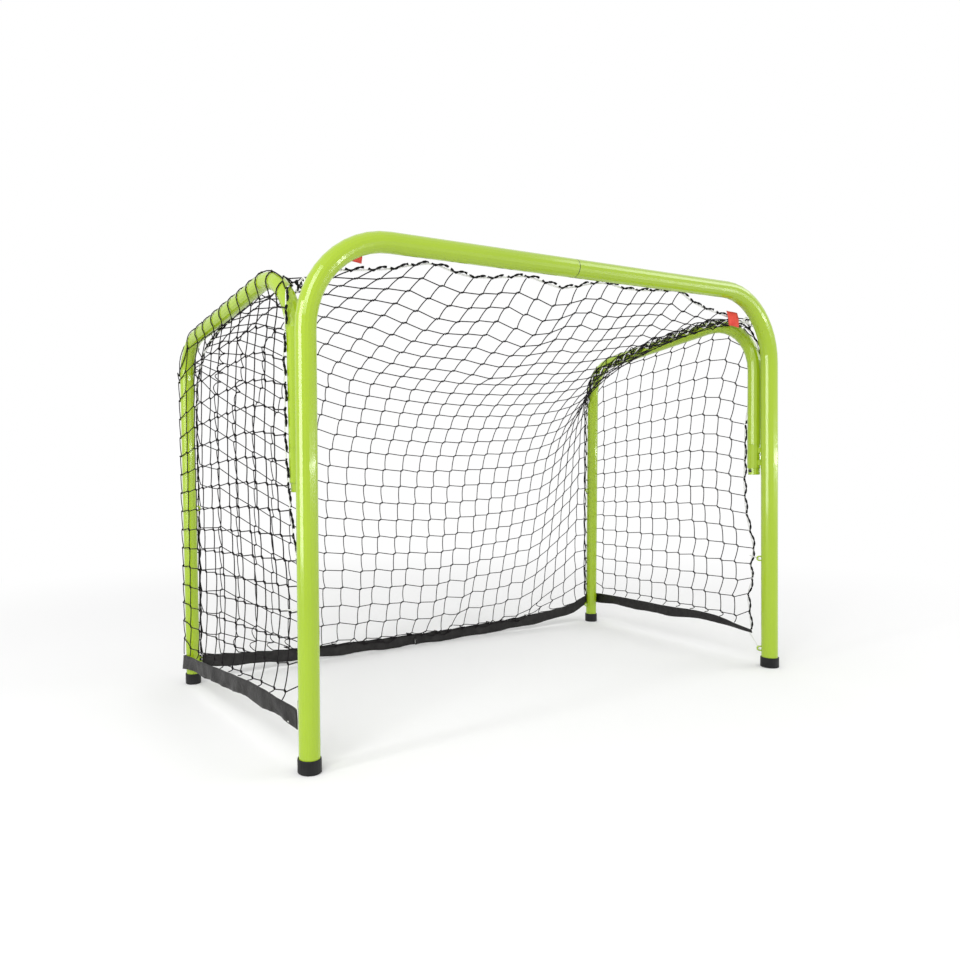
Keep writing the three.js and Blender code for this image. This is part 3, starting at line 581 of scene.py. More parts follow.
def cord_mesh(name, stacks, sides=6):
    """One mesh of many tubes. stacks is a list of (lines, radius), lines an array of line, point, xyz."""
    corners, faces, uvs = [], [], []
    count = 0
    for lines, radius in stacks:
        lines = np.asarray(lines, float)
        rings = ring_corners(lines, radius, sides)
        number, points = lines.shape[:2]
        index = count + np.arange(number * points * sides).reshape(number, points, sides)
        turned = np.roll(index, -1, axis=2)
        quads = np.stack([index[:, :-1], index[:, 1:], turned[:, 1:], turned[:, :-1]], axis=-1)
        reach = np.zeros((number, points))
        reach[:, 1:] = np.cumsum(np.linalg.norm(np.diff(lines, axis=1), axis=-1), axis=1)
        u = np.broadcast_to(reach[:, :, None], index.shape)
        v = np.broadcast_to(np.arange(sides) / sides, index.shape)
        quad_u = np.stack([u[:, :-1], u[:, 1:], u[:, 1:], u[:, :-1]], axis=-1)
        quad_v = np.stack([v[:, :-1], v[:, 1:], v[:, 1:] + 1 / sides, v[:, :-1] + 1 / sides], axis=-1)
        corners.append(rings.reshape(-1, 3))
        faces.extend(quads.reshape(-1, 4).tolist())
        uvs.append(np.stack([quad_u, quad_v], axis=-1).reshape(-1, 2))
        ends = [*index[:, 0, ::-1].tolist(), *index[:, -1].tolist()]
        faces.extend(ends)
        uvs.append(np.zeros((len(ends) * sides, 2)))
        count += index.size
    return mesh_object(name, np.vstack(corners), faces, np.vstack(uvs))


def cloth_mesh(name, grid, uv, thickness):
    """A mesh of a grid of places, with a UV map in metres and a thickness."""
    index = np.arange(grid[..., 0].size).reshape(grid.shape[:2])
    quads = np.stack([index[:-1, :-1], index[1:, :-1], index[1:, 1:], index[:-1, 1:]], axis=-1)
    quads = quads.reshape(-1, 4)
    piece = mesh_object(name, grid.reshape(-1, 3), quads.tolist(), uv.reshape(-1, 2)[quads.ravel()])
    piece.modifiers.new("thickness", "SOLIDIFY").thickness = thickness
    return piece


def mesh_object(name, corners, faces, uvs):
    """An object with a smooth mesh and its UV map."""
    mesh = bpy.data.meshes.new(name)
    mesh.from_pydata(corners.tolist(), [], faces)
    mesh.uv_layers.new(name="UVMap").data.foreach_set("uv", uvs.astype(np.float32).ravel())
    mesh.polygons.foreach_set("use_smooth", np.ones(len(mesh.polygons), bool))
    mesh.update()
    piece = bpy.data.objects.new(name, mesh)
    scene.collection.objects.link(piece)
    return piece


def finish_piece(piece, slot, body=None, replaces=()):
    """Gives a piece its material, its body and the CAD nodes that it stands for."""
    piece.data.materials.append(MATERIALS[slot])
    if body:
        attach(piece, body)
    if replaces:
        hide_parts(*replaces)
    print(" ", piece.name, len(piece.data.polygons), "faces")


print("cords and cloth are ready")

# %% [markdown]
# ## Twines between the knots
#
# A machine ties each knot with a short slanted grip: seen from the mouth it is a small dark dash that
# rises to the right. The twine from above comes in at its upper end and the one below leaves at its lower
# end, and the twines to both sides do the same. So no line runs straight through a knot, and every row
# climbs a little step there. That step is what makes a real net look knotted and not printed. A twine
# whose knots are closer than its length goes slack and sags.

# %% Twines
MESH = 50 * MM
TWINE_RADIUS = 1.15 * MM
TWINE_POINTS = 7
TWINE_SIDES = 5
# Half of a knot's dash: along the row, and up
GRIP = (2.9 * MM, 2.0 * MM)
BOW = 1.7 * MM
# The knots take up the rest of each twine's length
TAKE_UP_SHARE = 0.94
SLACK_LIMIT = 13 * MM
# A shallow arc sags by the root of this times its chord times the length that it has to spare
ARC = 3 / 8
BOW_SPREAD = (0.6, 1.3)
# How far a slack row leans out of the net as it sags
SAG_LEAN = 0.3
random = np.random.default_rng(11)


def bent_twines(starts, ends, grips, bow_way, sag_way, lengths):
    """Lines from knot to knot. grips are the steps from a knot's middle to where its twines leave it."""
    t = np.linspace(0, 1, TWINE_POINTS)[:, None]
    starts, ends = starts[..., None, :], ends[..., None, :]
    chord = np.linalg.norm(ends - starts, axis=-1, keepdims=True)
    spare = np.maximum(TAKE_UP_SHARE * lengths[..., None, None] - chord, 0)
    slack = np.sqrt(ARC * chord * spare).clip(0, SLACK_LIMIT)
    size = random.uniform(*BOW_SPREAD, chord.shape)
    line = starts * (1 - t) + ends * t + grips[..., None, :] * (1 - 2 * t) * size
    arc = 4 * t * (1 - t)
    return line + bow_way[..., None, :] * arc * size + sag_way[..., None, :] * arc * slack


def net_ways(knots):
    """The ways across and down at each knot."""
    return unit(np.gradient(knots, axis=0)), unit(np.gradient(knots, axis=1))


def net_lines(knots, down_reach, across_reach):
    """Down twines and across twines of a grid of knots."""
    columns, rows = knots.shape[:2]
    across_way, down_way = net_ways(knots)
    normal = unit(np.cross(across_way, down_way))
    dash = across_way * GRIP[0] - down_way * GRIP[1]
    aside = across_way[:, :-1]
    lean = unit(normal[:, :-1] * random.uniform(-1, 1, (columns, rows - 1, 1)) - aside)
    down = bent_twines(knots[:, :-1], knots[:, 1:], -dash[:, :-1], -aside * BOW, lean, down_reach)
    drop = unit(SAG_LEAN * normal[:-1] - [0, 0, 1.0])
    across = bent_twines(knots[:-1], knots[1:], dash[:-1], 0 * drop, drop, across_reach)
    return down, across


print("cells of", MESH, "m, twine of", 2 * TWINE_RADIUS, "m")

# %% Knots
KNOT_RADIUS = 1.25 * MM
KNOT_TURNS = 2.5
KNOT_POINTS = 16
KNOT_SPREAD = (0.85, 1.25)


def knot_lines(knots):
    """The twine's turns round the dash of each knot, but not of those at the net's edges."""
    across, down = net_ways(knots)
    across, down, places = (grid[1:-1, 1:-1].reshape(-1, 1, 3) for grid in (across, down, knots))
    dash = across * GRIP[0] - down * GRIP[1]
    side = unit(across * GRIP[1] + down * GRIP[0])
    front = np.cross(unit(dash), side)
    t = np.linspace(0, 1, KNOT_POINTS)[:, None]
    turn = 2 * math.pi * KNOT_TURNS * t + random.uniform(0, 6, (len(places), 1, 1))
    size = random.uniform(*KNOT_SPREAD, (len(places), 1, 1))
    turns = KNOT_RADIUS * (np.cos(turn) * side + np.sin(turn) * front)
    return places + size * (dash * (2 * t - 1) + turns)


def net_mesh(name, down, across, knots):
    """One mesh of a net's twines and the turns at its knots."""
    twines = [lines.reshape(-1, TWINE_POINTS, 3) for lines in (down, across)]
    return cord_mesh(name, [(lines, TWINE_RADIUS) for lines in (*twines, knots)], TWINE_SIDES)


print("knots with", KNOT_TURNS, "turns of twine")

# %% [markdown]
# ## The main net
#
# One sheet of netting makes the roof and the back. It is held along three edges: a rope behind the
# crossbar, and on each side the lacing that follows the top tube, cuts the corner, and runs down the rear
# leg. Its lower edge ends in the tape at the floor. Twenty-seven cells of fifty millimetres span each
# way.

# %% Edges of the main net
CELLS_ACROSS = 27
CELLS_DOWN = 27
# Where the front rope passes: across the mouth, and height. It is high at the hooks and sags between them
FRONT_ROPE = [(x * MM, z * MM) for x, z in (
    (-560, 864), (-489, 872), (-444, 877), (-352, 900), (-276, 884), (-234, 882), (-118, 897), (-15, 881),
    (90, 906), (173, 896), (278, 904), (334, 906), (398, 880), (481, 866), (560, 852),
)]
FRONT_ROPE_BACKSET = 26 * MM
# The lacing on each side, from the net's front corner to the tape: out, along, height, in millimetres
SEAM = {
    "right": (
        (-20, 18, 858), (-21, 80, 868), (-21, 149, 872), (-21, 218, 861), (-20, 307, 852),
        (-20, 403, 831), (-21, 479, 808), (-22, 534, 789), (-23, 561, 768), (-23, 574, 735),
        (-24, 585, 690), (-25, 588, 600), (-25, 590, 450), (-25, 592, 300), (-24, 594, 150),
        (-22, 595, 86),
    ),
    "left": (
        (-16, 42, 846), (-19, 90, 868), (-20, 150, 864), (-20, 240, 852), (-20, 335, 835),
        (-21, 418, 822), (-21, 462, 808), (-22, 500, 797), (-23, 530, 775), (-24, 562, 742),
        (-24, 580, 700), (-25, 588, 600), (-25, 590, 450), (-25, 592, 300), (-24, 594, 150),
        (-22, 595, 66),
    ),
}
# The net's rows at the ends of each stretch of the lacing: along the top, round the rear corner and down
# the leg, and the heights where the corner starts and ends, in millimetres
SEAM_ROWS = (0, 9, 14, 27)
SEAM_HEIGHTS = {"right": (802, 738), "left": (798, 736)}
SEAM_RAGGED = 1.5 * MM
# The tape's upper edge at the back: across, back from the hinges, height
BACK_HEM = [tuple(value * MM for value in place) for place in (
    (-560, 602, 58), (-400, 613, 44), (-200, 623, 35), (0, 626, 31), (200, 623, 33), (400, 613, 42),
    (560, 602, 60),
)]


def seam_shares(line, heights):
    """Shares of the lacing's length at which each row of the net is held."""
    reach = distances(line)
    marks = [reach[np.argmax(line[:, 2] <= height * MM)] for height in heights]
    return np.interp(np.arange(CELLS_DOWN + 1), SEAM_ROWS, [0, *marks, reach[-1]]) / reach[-1]


seam_line, seam_knots = {}, {}
for side in SIDES:
    seam_line[side] = drawn(SEAM[side])
    places = on_side(side, evenly(seam_line[side], seam_shares(seam_line[side], SEAM_HEIGHTS[side])))
    seam_knots[side] = places + SEAM_RAGGED * random.uniform(-1, 1, places.shape)

rope_x, rope_z = np.array(FRONT_ROPE).T
knot_x = np.linspace(seam_knots["left"][0][0], seam_knots["right"][0][0], CELLS_ACROSS + 1)
front_knots = np.stack([
    knot_x, np.full_like(knot_x, mouth_y + FRONT_ROPE_BACKSET), np.interp(knot_x, rope_x, rope_z),
], axis=-1)
front_knots[0], front_knots[-1] = seam_knots["left"][0], seam_knots["right"][0]

hem_places = np.array(BACK_HEM)
hem_places[:, 1] += hinge[1]
hem_edge = smooth_line(np.vstack([seam_knots["left"][-1], hem_places, seam_knots["right"][-1]]))
hem_knots = spaced(hem_edge, CELLS_ACROSS)
print("front edge", np.round(front_knots[[0, -1]], 3).tolist())

# %% Hang the main net
# A twine reaches less far where the netting is drawn together: row, and its twines' reach in millimetres
ACROSS_REACH = {
    0: 45.2, 1: 46.9, 3: 49.3, 5: 50.7, 7: 52.5, 9: 53.0, 11: 50.7, 13: 50.8, 16: 50.1, 20: 49.9, 24: 50.2,
}
DOWN_REACH = {
    0: 39.5, 2: 40.4, 5: 43.9, 7: 46.4, 9: 44.8, 11: 41.6, 13: 42.3, 16: 45.1, 20: 47.3, 24: 56,
}
FLOOR_CLEARANCE = 5 * MM
# The last rows pile up against the tape: row, how far in front of it and above its edge, in millimetres
PILE = {25: (10, 8), 26: (8, -2)}
PILE_RAGGED = 5
# The pile starts this many columns from each side and is whole after so many more
PILE_START = 1
PILE_WIDTH = 5


def above_floor(knots):
    knots[..., 2] = np.maximum(knots[..., 2], FLOOR_CLEARANCE)
    return knots


main_knots = patch(front_knots, hem_knots, seam_knots["left"], seam_knots["right"])
held = np.zeros(main_knots.shape[:2], bool)
held[[0, -1]] = held[:, [0, -1]] = True
from_left = np.arange(CELLS_ACROSS + 1)
from_side = np.minimum(from_left, CELLS_ACROSS - from_left)
piled = np.clip((from_side - PILE_START) / PILE_WIDTH, 0, 1)[:, None]
for row, (forward, rise) in PILE.items():
    heap = hem_knots + np.array([0, -forward, rise]) * MM
    heap = heap + random.uniform(-PILE_RAGGED, PILE_RAGGED, hem_knots.shape) * MM
    main_knots[:, row] += piled * (heap - main_knots[:, row])
    held[:, row] = True
across_reach = np.tile(from_table(ACROSS_REACH, np.arange(CELLS_DOWN + 1)), (CELLS_ACROSS, 1))
down_reach = np.tile(from_table(DOWN_REACH, np.arange(CELLS_DOWN)), (CELLS_ACROSS + 1, 1))
main_knots = hang(main_knots, held, across_reach, down_reach, above_floor)
middle = (CELLS_ACROSS + 1) // 2
print("main net hangs down to", np.round(main_knots[middle, CELLS_DOWN // 2], 3), "in its middle")

# %% [markdown]
# ## The main net in two halves
#
# When a side frame folds, the net's edge on that side goes with it and the net's middle stays. Here the
# net is made as two halves that meet in the goal's middle, and each half's place is baked into its mesh.


def fold_with(piece):
    """Bakes a piece's place into its mesh."""
    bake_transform(piece)


down, across = net_lines(main_knots, np.minimum(down_reach, MESH), np.minimum(across_reach, MESH))
knots = knot_lines(main_knots)
# The columns of down twines and the gaps between them that belong to each half
HALVES = {
    "left": (slice(0, middle), slice(0, middle - 1)),
    "right": (slice(middle, None), slice(middle - 1, None)),
}
for side, (columns, gaps) in HALVES.items():
    ours = knots[knots[:, :, 0].mean(axis=1) * SIDES[side] > 0]
    piece = net_mesh("main_net_" + side, down[columns], across[gaps, 1:], ours)
    finish_piece(piece, "net_twine", replaces=["back_net"])
    fold_with(piece)

# %% [markdown]
# ## The side nets
#
# A side net starts at the lacing inside the top tube, passes over the tube, and hangs flat against the
# outside of the frame. At the rear leg it wraps round the tube to the lacing again. The tube is solid to
# it: each knot that would be inside the tube is moved to its skin.

# %% Edges of the side nets
SIDE_COLUMNS = 13
SIDE_ROWS = 18
# The front edge of each side net: out, along, height, in millimetres
SIDE_FRONT = {
    "right": (
        (-20, 18, 858), (-10, 0, 830), (2, -10, 796), (17, 3, 770), (19, 22, 715), (19, 34, 650),
        (19, 44, 584), (19, 42, 556), (19, 44, 479), (18, 43, 440), (17, 36, 383), (14, 17, 312),
        (6, 4, 271), (11, 20, 245), (12, 8, 231), (16, 28, 182), (17, 25, 125), (18, 20, 80),
    ),
    "left": (
        (-16, 42, 846), (10, 10, 832), (18, -3, 803), (18, 7, 760), (18, 6, 740), (18, 14, 700),
        (19, 6, 655), (19, 12, 600), (18, 12, 554), (19, 4, 500), (18, -2, 450), (17, -10, 400),
        (16, -26, 340), (12, -32, 275), (15, -30, 230), (18, -26, 170), (18, -18, 125), (18, -10, 103),
    ),
}
# The tape's upper edge on each side: out, along, height, in millimetres
SIDE_HEM = {
    "right": (
        (18, 20, 80), (20, 60, 86), (21, 103, 94), (22, 149, 99), (22, 220, 99), (22, 305, 95),
        (22, 396, 94), (20, 494, 93), (18, 560, 91), (19, 608, 88), (-8, 613, 86), (-22, 595, 86),
    ),
    "left": (
        (18, -10, 103), (21, 66, 105), (22, 147, 105), (22, 237, 101), (22, 336, 93), (21, 448, 83),
        (19, 580, 72), (19, 608, 68), (-8, 613, 66), (-22, 595, 66),
    ),
}
# The columns start at the lacing down to this height, and the rows end at it below
REAR_TOP = 742 * MM
# There the first rows end close together, at shares of the length below, and the others from the last on
CLOSE_SHARES, LAST_CLOSE_SHARE = (0, 0.02, 0.04), 0.06
# Where the columns cross the top of the tube: column, and millimetres behind the hinge
CROWN_PLACES = {1: 40, 4: 174, 7: 312, 12: 556}
NET_GAP = 0.6 * MM
NET_SKIN = SIDE_TUBE_RADIUS + TWINE_RADIUS + NET_GAP
# How far out of the tube's middle the row on top of it lies
ROW_ON_TOP_OUT = 3 * MM
# The column behind the rear leg: how far out it runs, and behind the leg's middle line
COLUMN_BEHIND = (15 * MM, 12 * MM)


def side_grid(side):
    """A side net's knots before they hang, in the side frame's own places, and which of them are held."""
    seam = seam_line[side]
    corner = np.argmax(seam[:, 2] < REAR_TOP)
    top = spaced(seam[: corner + 1], SIDE_COLUMNS)
    rear = evenly(seam[corner:], np.r_[CLOSE_SHARES, np.linspace(LAST_CLOSE_SHARE, 1, SIDE_ROWS - 2)])
    front = spaced(drawn(SIDE_FRONT[side]), SIDE_ROWS)
    bottom = spaced(drawn(SIDE_HEM[side]), SIDE_COLUMNS)
    front[0], rear[0], front[-1], rear[-1] = top[0], top[-1], bottom[0], bottom[-1]
    knots = patch(top, bottom, front, rear)
    # The row next to the lacing lies on top of the tube, and the column next to it behind the rear leg
    place = from_table(CROWN_PLACES, np.arange(1, SIDE_COLUMNS))
    crown = np.stack([0 * place, place, np.interp(place, tube_line[1:-1, 0], tube_line[1:-1, 1])], axis=-1)
    knots[1:-1, 1] = crown + [ROW_ON_TOP_OUT, 0, NET_SKIN]
    leg = tube_line[len(tube_line) // 2:]
    knots[-2, 2:-1, 0] = COLUMN_BEHIND[0]
    knots[-2, 2:-1, 1] = np.interp(-knots[-2, 2:-1, 2], -leg[:, 1], leg[:, 0]) + COLUMN_BEHIND[1]
    knots[1:-2, 2:-1, 0] = NET_SKIN
    held = np.zeros(knots.shape[:2], bool)
    held[[0, -1, -2]] = held[:, [0, 1, -1]] = True
    return knots, held


side_grids = {side: side_grid(side) for side in SIDES}
print("side nets of", SIDE_COLUMNS, "by", SIDE_ROWS, "cells")

# %% Hang the side nets
# A row's twines reach less far near the front edge: column, and their reach in millimetres
SIDE_ACROSS_REACH = {0: 43, 3: 43, 6: 47.5, 11: 48.5, 12: 50}
# The tape takes in the rest of the last row of cells. The other rows share the height and this much more,
# which goes round the tube
LAST_CELL = 22 * MM
ROUND_TUBE = 7 * MM
# How far the last twines before the lacing bow out where they go round the tube
AROUND = 8 * MM


def outside_tube(knots):
    """Moves what is inside the side tube to its skin, in the side frame's own places."""
    flat = knots[..., 1:].reshape(-1, 1, 2)
    start, end = tube_line[:-1], tube_line[1:]
    step = end - start
    share = np.clip(((flat - start) * step).sum(-1) / (step * step).sum(-1), 0, 1)
    gap = flat - (start + share[..., None] * step)
    pick = np.argmin((gap * gap).sum(-1), axis=1)
    offset = np.concatenate([knots[..., :1].reshape(-1, 1), gap[np.arange(len(gap)), pick]], axis=1)
    distance = np.linalg.norm(offset, axis=1, keepdims=True)
    push = offset * np.maximum(NET_SKIN / np.maximum(distance, 1e-6) - 1, 0)
    return knots + push.reshape(knots.shape)


def side_reaches(knots):
    """How far the twines of a side net reach, across and down."""
    across = from_table(SIDE_ACROSS_REACH, np.arange(SIDE_COLUMNS))
    height = np.linalg.norm(knots[:, 1] - knots[:, -1], axis=-1) + ROUND_TUBE - LAST_CELL
    down = np.tile((height / (SIDE_ROWS - 2))[:, None], (1, SIDE_ROWS))
    down[:, -1] = LAST_CELL
    return np.tile(across[:, None], (1, SIDE_ROWS + 1)), down


side_knots = {}
for side, (knots, edges) in side_grids.items():
    across_reach, down_reach = side_reaches(knots)
    side_knots[side] = hang(knots, edges, across_reach, down_reach, outside_tube)
    down, across = net_lines(side_knots[side], down_reach, across_reach)
    bow = np.sin(np.linspace(0, math.pi, TWINE_POINTS))[:, None] * AROUND
    down[:, 0] += bow * [0, 0, 1]
    down[:, 1] += bow * [1, 0, 0.5]
    across[-1] += bow * [0, 1, 0]
    down = on_side(side, outside_tube(down))[1:-1]
    across = on_side(side, outside_tube(across))[:, 1:-1]
    knots = knot_lines(on_side(side, side_knots[side]))
    piece = net_mesh("side_net_mesh_" + side, down, across, knots)
    finish_piece(piece, "net_twine", side + "_side", ["side_net_" + side])

# %% [markdown]
# ## Ropes at the edges
#
# The net's outermost cells are tied to a doubled black twine, the selvedge, and a white rope is laced
# through it. Between two knots the selvedge bows out in a small arc, and the rope shows in the gaps
# between the arcs.

# %% Front rope and selvedge
ROPE_RADIUS = 1.6 * MM
ROPE_BEHIND = (0, 4 * MM, 2 * MM)
TWIN_RADIUS = 1.3 * MM
HUMP = 6 * MM
HUMP_SPREAD = (0.7, 1.3)
HUMP_STEPS = 12
# From where to where, in cells, the doubled twine of one knot runs along the edge
FRONT_STROKE = (-0.22, 0.62)
STROKE_POINTS = 11
# How unevenly it starts, in cells, and how far its two twines turn round each other
STROKE_SHIFT = 0.05
STROKE_TWIST = 3 * math.pi


def humped(knots, out_way, height):
    """A line through the knots of an edge that rises between each two of them."""
    line = smooth_line(knots, HUMP_STEPS)
    cell = np.arange(len(line)) / HUMP_STEPS
    sizes = np.interp(cell, np.arange(len(knots)), random.uniform(*HUMP_SPREAD, len(knots)))
    return line + (height * sizes * np.abs(np.sin(math.pi * cell)))[:, None] * out_way


def strokes(path, out_way, stroke):
    """Pairs of twines, wound round each other, that follow a humped line past each of its knots."""
    cells = (len(path) - 1) // HUMP_STEPS
    share = np.linspace(*stroke, STROKE_POINTS)
    marks = np.arange(cells)[:, None] + share + random.uniform(-STROKE_SHIFT, STROKE_SHIFT, (cells, 1))
    marks = np.clip(marks, 0, cells) * HUMP_STEPS
    lines = np.stack([np.interp(marks, np.arange(len(path)), axis) for axis in path.T], axis=-1)
    way = unit(path[-1] - path[0])
    start = random.uniform(0, 6, (cells, 1, 1))
    twist = STROKE_TWIST * np.linspace(0, 1, STROKE_POINTS)[:, None] + start
    wrap = (np.cos(twist) * out_way + np.sin(twist) * np.cross(way, out_way)) * TWIN_RADIUS
    return np.concatenate([lines + wrap, lines - wrap])


def cord_piece(name, lines, radius, slot, body, replaces=()):
    """A finished piece of cords that are equally thick."""
    finish_piece(cord_mesh(name, [(lines, radius)]), slot, body, replaces)


up = np.array([0, 0, 1.0])
path = humped(front_knots[1:-1], up, HUMP)
rope = smooth_line(front_knots[1:-1], HUMP_STEPS) + ROPE_BEHIND
cord_piece("front_rope", rope[None], ROPE_RADIUS, "white_cord", "front_frame")
twins = strokes(path, up, FRONT_STROKE)
cord_piece("front_selvedge", twins, TWIN_RADIUS, "border_cord", "front_frame", ["front_border_cord"])

# %% Side edges
SIDE_STROKE = {"right": (-0.05, 0.95), "left": (-0.15, 0.62)}
SIDE_ROPE_RADIUS = 1.2 * MM

for side in SIDES:
    body = side + "_side"
    edge = on_side(side, side_knots[side][0])
    forward = on_side(side, (0, -1.0, 0)) - on_side(side, (0, 0, 0))
    twins = strokes(humped(edge, forward, HUMP), forward, SIDE_STROKE[side])
    stands_for = ["side_border_cord_" + side]
    cord_piece("side_selvedge_" + side, twins, TWIN_RADIUS, "border_cord", body, stands_for)
    rope = smooth_line(edge, HUMP_STEPS)[None]
    cord_piece("side_rope_" + side, rope, SIDE_ROPE_RADIUS, "white_cord", body)

# %% [markdown]
# ## The lacing
#
# The main net and the side net are laced together inside the frame. Twines wind round a white rope, one
# turn for each cell of the net, some one way and some the other, so they cross in a row of lens shapes.
# They lie against the tube, and the green paint and the rope show through between them. A thicker twine
# runs along the lower edge. Each strand has its own height and depth of turn, direction, start and
# thickness.

# %% Lacing
# Height and depth of the turns, turns per cell, start, offset upward and thickness, in millimetres. The
# first ones end at the rear corner, and the last two run on down the leg
STRANDS = (
    (9, 4, 1, 0.00, -3, 1.1), (8, 4, -1, 0.30, -3, 1.0), (2, 1, 0.7, 0.60, -12, 1.4),
    (4, 3, 1, 0.45, -6, 1.3),
)
LEG_STRANDS = 2
ROPE_STRAND = (6, 3, 1, 0.80, -2, 1.9)
STRAND_POINTS = 320
# How much the turns come early and late, how often, and how differently for each strand
WOBBLE = (0.5, 2.9, 9)
# How wide the lacing is on the top tube and down the leg, and between which shares of its length it changes
LACING_WIDTH = {"right": (1.0, 0.6), "left": (0.45, 0.6)}
LACING_MARKS = (0.45, 0.58)
# The share of its length at which the rear corner lies
CORNER_SHARE = 0.52


def wind(side, height, depth, turns, start, offset, end_share):
    """One strand that winds round the lacing's middle line, up to a share of its length."""
    line = evenly(seam_line[side], np.linspace(0, end_share, STRAND_POINTS))
    way = unit(np.gradient(line, axis=0))
    inward = np.array([-1.0, 0, 0])
    upward = unit(np.cross(inward, way))
    reach = distances(line) / MESH
    size, rate, spread = WOBBLE
    phase = 2 * math.pi * (turns * reach + start) + size * np.sin(rate * reach + spread * start)
    width = np.interp(end_share * reach / reach[-1], LACING_MARKS, LACING_WIDTH[side])
    rise = (height * np.sin(phase) + offset) * width * MM
    out = depth * (np.cos(phase) - 0.5) * width * MM
    strand = line + rise[:, None] * upward + out[:, None] * inward
    strand[:, 0] = np.minimum(strand[:, 0], 0)
    return on_side(side, outside_tube(strand))


for side in SIDES:
    stacks = []
    for number, (*shape, thickness) in enumerate(STRANDS):
        end = 1 if number >= len(STRANDS) - LEG_STRANDS else CORNER_SHARE
        stacks.append((wind(side, *shape, end)[None], thickness * MM))
    finish_piece(cord_mesh("lacing_" + side, stacks), "border_cord", side + "_side", ["seam_cord_" + side])
    *shape, thickness = ROPE_STRAND
    rope = wind(side, *shape, CORNER_SHARE)[None]
    cord_piece("lacing_rope_" + side, rope, thickness * MM, "white_cord", side + "_side")

# %% [markdown]
# ## Knots at the front corners
#
# Where the front rope, the lacing and the side nets' front edges meet, the cords end in a loose knot:
# white cord drawn to the crossbar, and loops of black twine round it.

# %% Corner knots
# The middle of each knot: across, behind the mouth, height
CORNER_KNOTS = {"right": (603 * MM, 46 * MM, 862 * MM), "left": (-600 * MM, 62 * MM, 846 * MM)}
KNOT_SIZE = (9 * MM, 11 * MM, 13 * MM)
WHITE_TURNS, WHITE_RADIUS = 7, 1.7 * MM
BLACK_TURNS, BLACK_RADIUS = 9, 1.5 * MM
BLACK_LOWER = 4 * MM


def loose_knot(centre, turns):
    """A cord that loops round and round a place."""
    return smooth_line(centre + random.uniform(-1, 1, (turns, 3)) * KNOT_SIZE)[None]


for side in SIDES:
    centre = np.array(CORNER_KNOTS[side]) + [0, mouth_y, 0]
    white = loose_knot(centre, WHITE_TURNS)
    black = loose_knot(centre - [0, 0, BLACK_LOWER], BLACK_TURNS)
    cord_piece("corner_cord_" + side, white, WHITE_RADIUS, "white_cord", side + "_side")
    cord_piece("corner_twine_" + side, black, BLACK_RADIUS, "border_cord", side + "_side")

# %% [markdown]
# ## Tape at the foot of the net
#
# The hem is coated woven tape, folded over the last row of the net. It is a strip with its own slack, so
# it buckles into short flat wrinkles across its width. The back tape is one strip on the real goal. Here
# it is two halves, as the net is.

# %% Hem tapes
TAPE_STEP = 7 * MM
TAPE_ROWS = 6
TAPE_THICKNESS = 1.0 * MM
TAPE_FLOOR_GAP = 0.8 * MM
HEM_WIDTH = 30 * MM
# The side tapes' widths: metres along the tape, and its width. The right one is drawn together in front
SIDE_TAPE_WIDTHS = {
    "right": ((0, 9 * MM), (0.04, 12 * MM), (0.13, 20 * MM), (0.28, 28 * MM)),
    "left": ((0, 35 * MM), (0.40, 34 * MM), (0.60, 32 * MM)),
}
WRINKLE = 2.2 * MM
# Waves of the wrinkles: radians per metre, and share of the full wrinkle
WRINKLE_SHARES = ((31, 0.8), (72, 0.7), (170, 0.25))
# How far a wrinkle leans over on its way down, and how slowly that changes along the tape
WRINKLE_LEAN = (2.8, 0.21)
# How much of a wrinkle shows at the upper edge, and how much more at the lower one
WRINKLE_GROWS = (0.35, 0.65)
# The lower edge's own waves: share of the width, and radians per metre
EDGE_WAVE = (0.05, 40)


def tape_mesh(name, upper, out_way, widths):
    """A tape that hangs from its upper edge, with wrinkles across it, and its flat size."""
    length = np.linalg.norm(np.diff(upper, axis=0), axis=1).sum()
    count = int(length / TAPE_STEP)
    edge = spaced(upper, count)
    way = unit(np.gradient(edge, axis=0))
    out = unit(np.cross(way, up))
    out = out * np.sign((out * out_way).sum(-1, keepdims=True))
    s = np.linspace(0, 1, count + 1)[:, None] * length
    t = np.linspace(0, 1, TAPE_ROWS + 1)[None, :]
    width = np.interp(s, *np.array(widths).T)
    waves = np.zeros((count + 1, TAPE_ROWS + 1))
    lean, slow = WRINKLE_LEAN
    for rate, share in WRINKLE_SHARES:
        phase = random.uniform(0, 6, 2)
        waves += share * np.sin(s * rate + phase[0] + lean * t * np.sin(s * rate * slow + phase[1]))
    slant = 1 + EDGE_WAVE[0] * np.sin(s * EDGE_WAVE[1] + random.uniform(0, 6))
    fold = WRINKLE * waves * (WRINKLE_GROWS[0] + WRINKLE_GROWS[1] * t)
    grid = edge[:, None] + out[:, None] * fold[..., None] - up * (width * t * slant)[..., None]
    grid[..., 2] = np.maximum(grid[..., 2], TAPE_FLOOR_GAP)
    uv = np.stack(np.broadcast_arrays(s, t * HEM_WIDTH), axis=-1)
    piece = cloth_mesh(name, grid, uv, TAPE_THICKNESS)
    area = sum(polygon.area for polygon in piece.data.polygons)
    print("  ", name, "length", round(length, 3), "m, area", round(area, 5), "m2")
    return piece, (round(area / length, 4), round(length, 3))


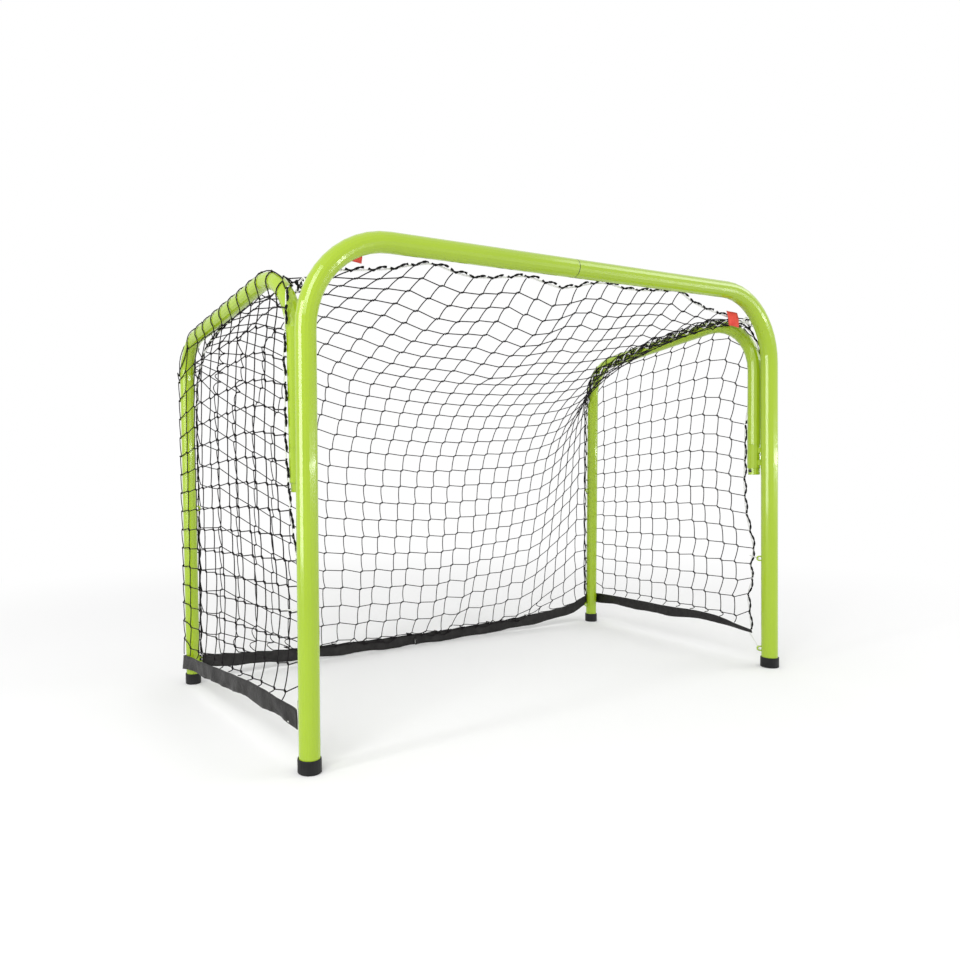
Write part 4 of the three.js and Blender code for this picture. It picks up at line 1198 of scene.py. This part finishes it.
for side, sign in SIDES.items():
    half = hem_edge[sign * hem_edge[:, 0] > -1 * MM]
    piece, flat = tape_mesh("hem_tape_back_" + side, half, np.array([0, 1.0, 0]), ((0, HEM_WIDTH),))
    finish_piece(piece, "hem_cloth", replaces=["back_hem"])
    fold_with(piece)
    edge = on_side(side, drawn(SIDE_HEM[side]))
    piece, flat = tape_mesh("hem_tape_side_" + side, edge, np.array([sign, 0, 0]), SIDE_TAPE_WIDTHS[side])
    finish_piece(piece, "hem_cloth", side + "_side", ["side_hem_" + side])

# %% [markdown]
# ## Red tabs and white ties
#
# A short red tape hangs at the net's front edge near each corner, to show which edge goes to the mouth.
# Thin white cords tie the side nets' front edges to the hooks on the posts.

# %% Tabs and ties
TAB_SIZE = (37 * MM, 34 * MM)
TAB_THICKNESS = 0.9 * MM
TAB_STEPS = 8
# How far each tab is moved aside, back and up, and how much its foot leans to the right
TAB_PLACE = {"right": (-4 * MM, 0, -6 * MM), "left": (0, 5 * MM, 8 * MM)}
TAB_LEAN = {"right": 9 * MM, "left": -2 * MM}
# How much a tab bows forward and how much lower its right side is. Its ripple's size, and radians across
# and down
TAB_BOW, TAB_DROP = 2 * MM, 3 * MM
TAB_RIPPLE = (1.2 * MM, 5, 2)

ripple, rate_across, rate_down = TAB_RIPPLE
for side in SIDES:
    low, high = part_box("corner_tab_" + side)
    aside, back, rise = TAB_PLACE[side]
    x = (low[0] + high[0]) / 2 + aside
    s, t = np.meshgrid(np.linspace(-0.5, 0.5, TAB_STEPS), np.linspace(0, 1, TAB_STEPS), indexing="ij")
    bow = TAB_BOW * np.sin(math.pi * t) + ripple * np.sin(rate_across * s + rate_down * t)
    across = x + s * TAB_SIZE[0] + (t - 0.5) * TAB_LEAN[side]
    height = high[2] + rise - t * TAB_SIZE[1] - TAB_DROP * s
    grid = np.stack([across, low[1] + back - bow, height], axis=-1)
    uv = np.stack([s * TAB_SIZE[0], t * TAB_SIZE[1]], axis=-1)
    piece = cloth_mesh("red_tab_" + side, grid, uv, TAB_THICKNESS)
    finish_piece(piece, "red_cloth", "front_frame", ["corner_tab_" + side])
    for number in (1, 2):
        repaint(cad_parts[f"front_tie_{number}_{side}"], "white_cord")
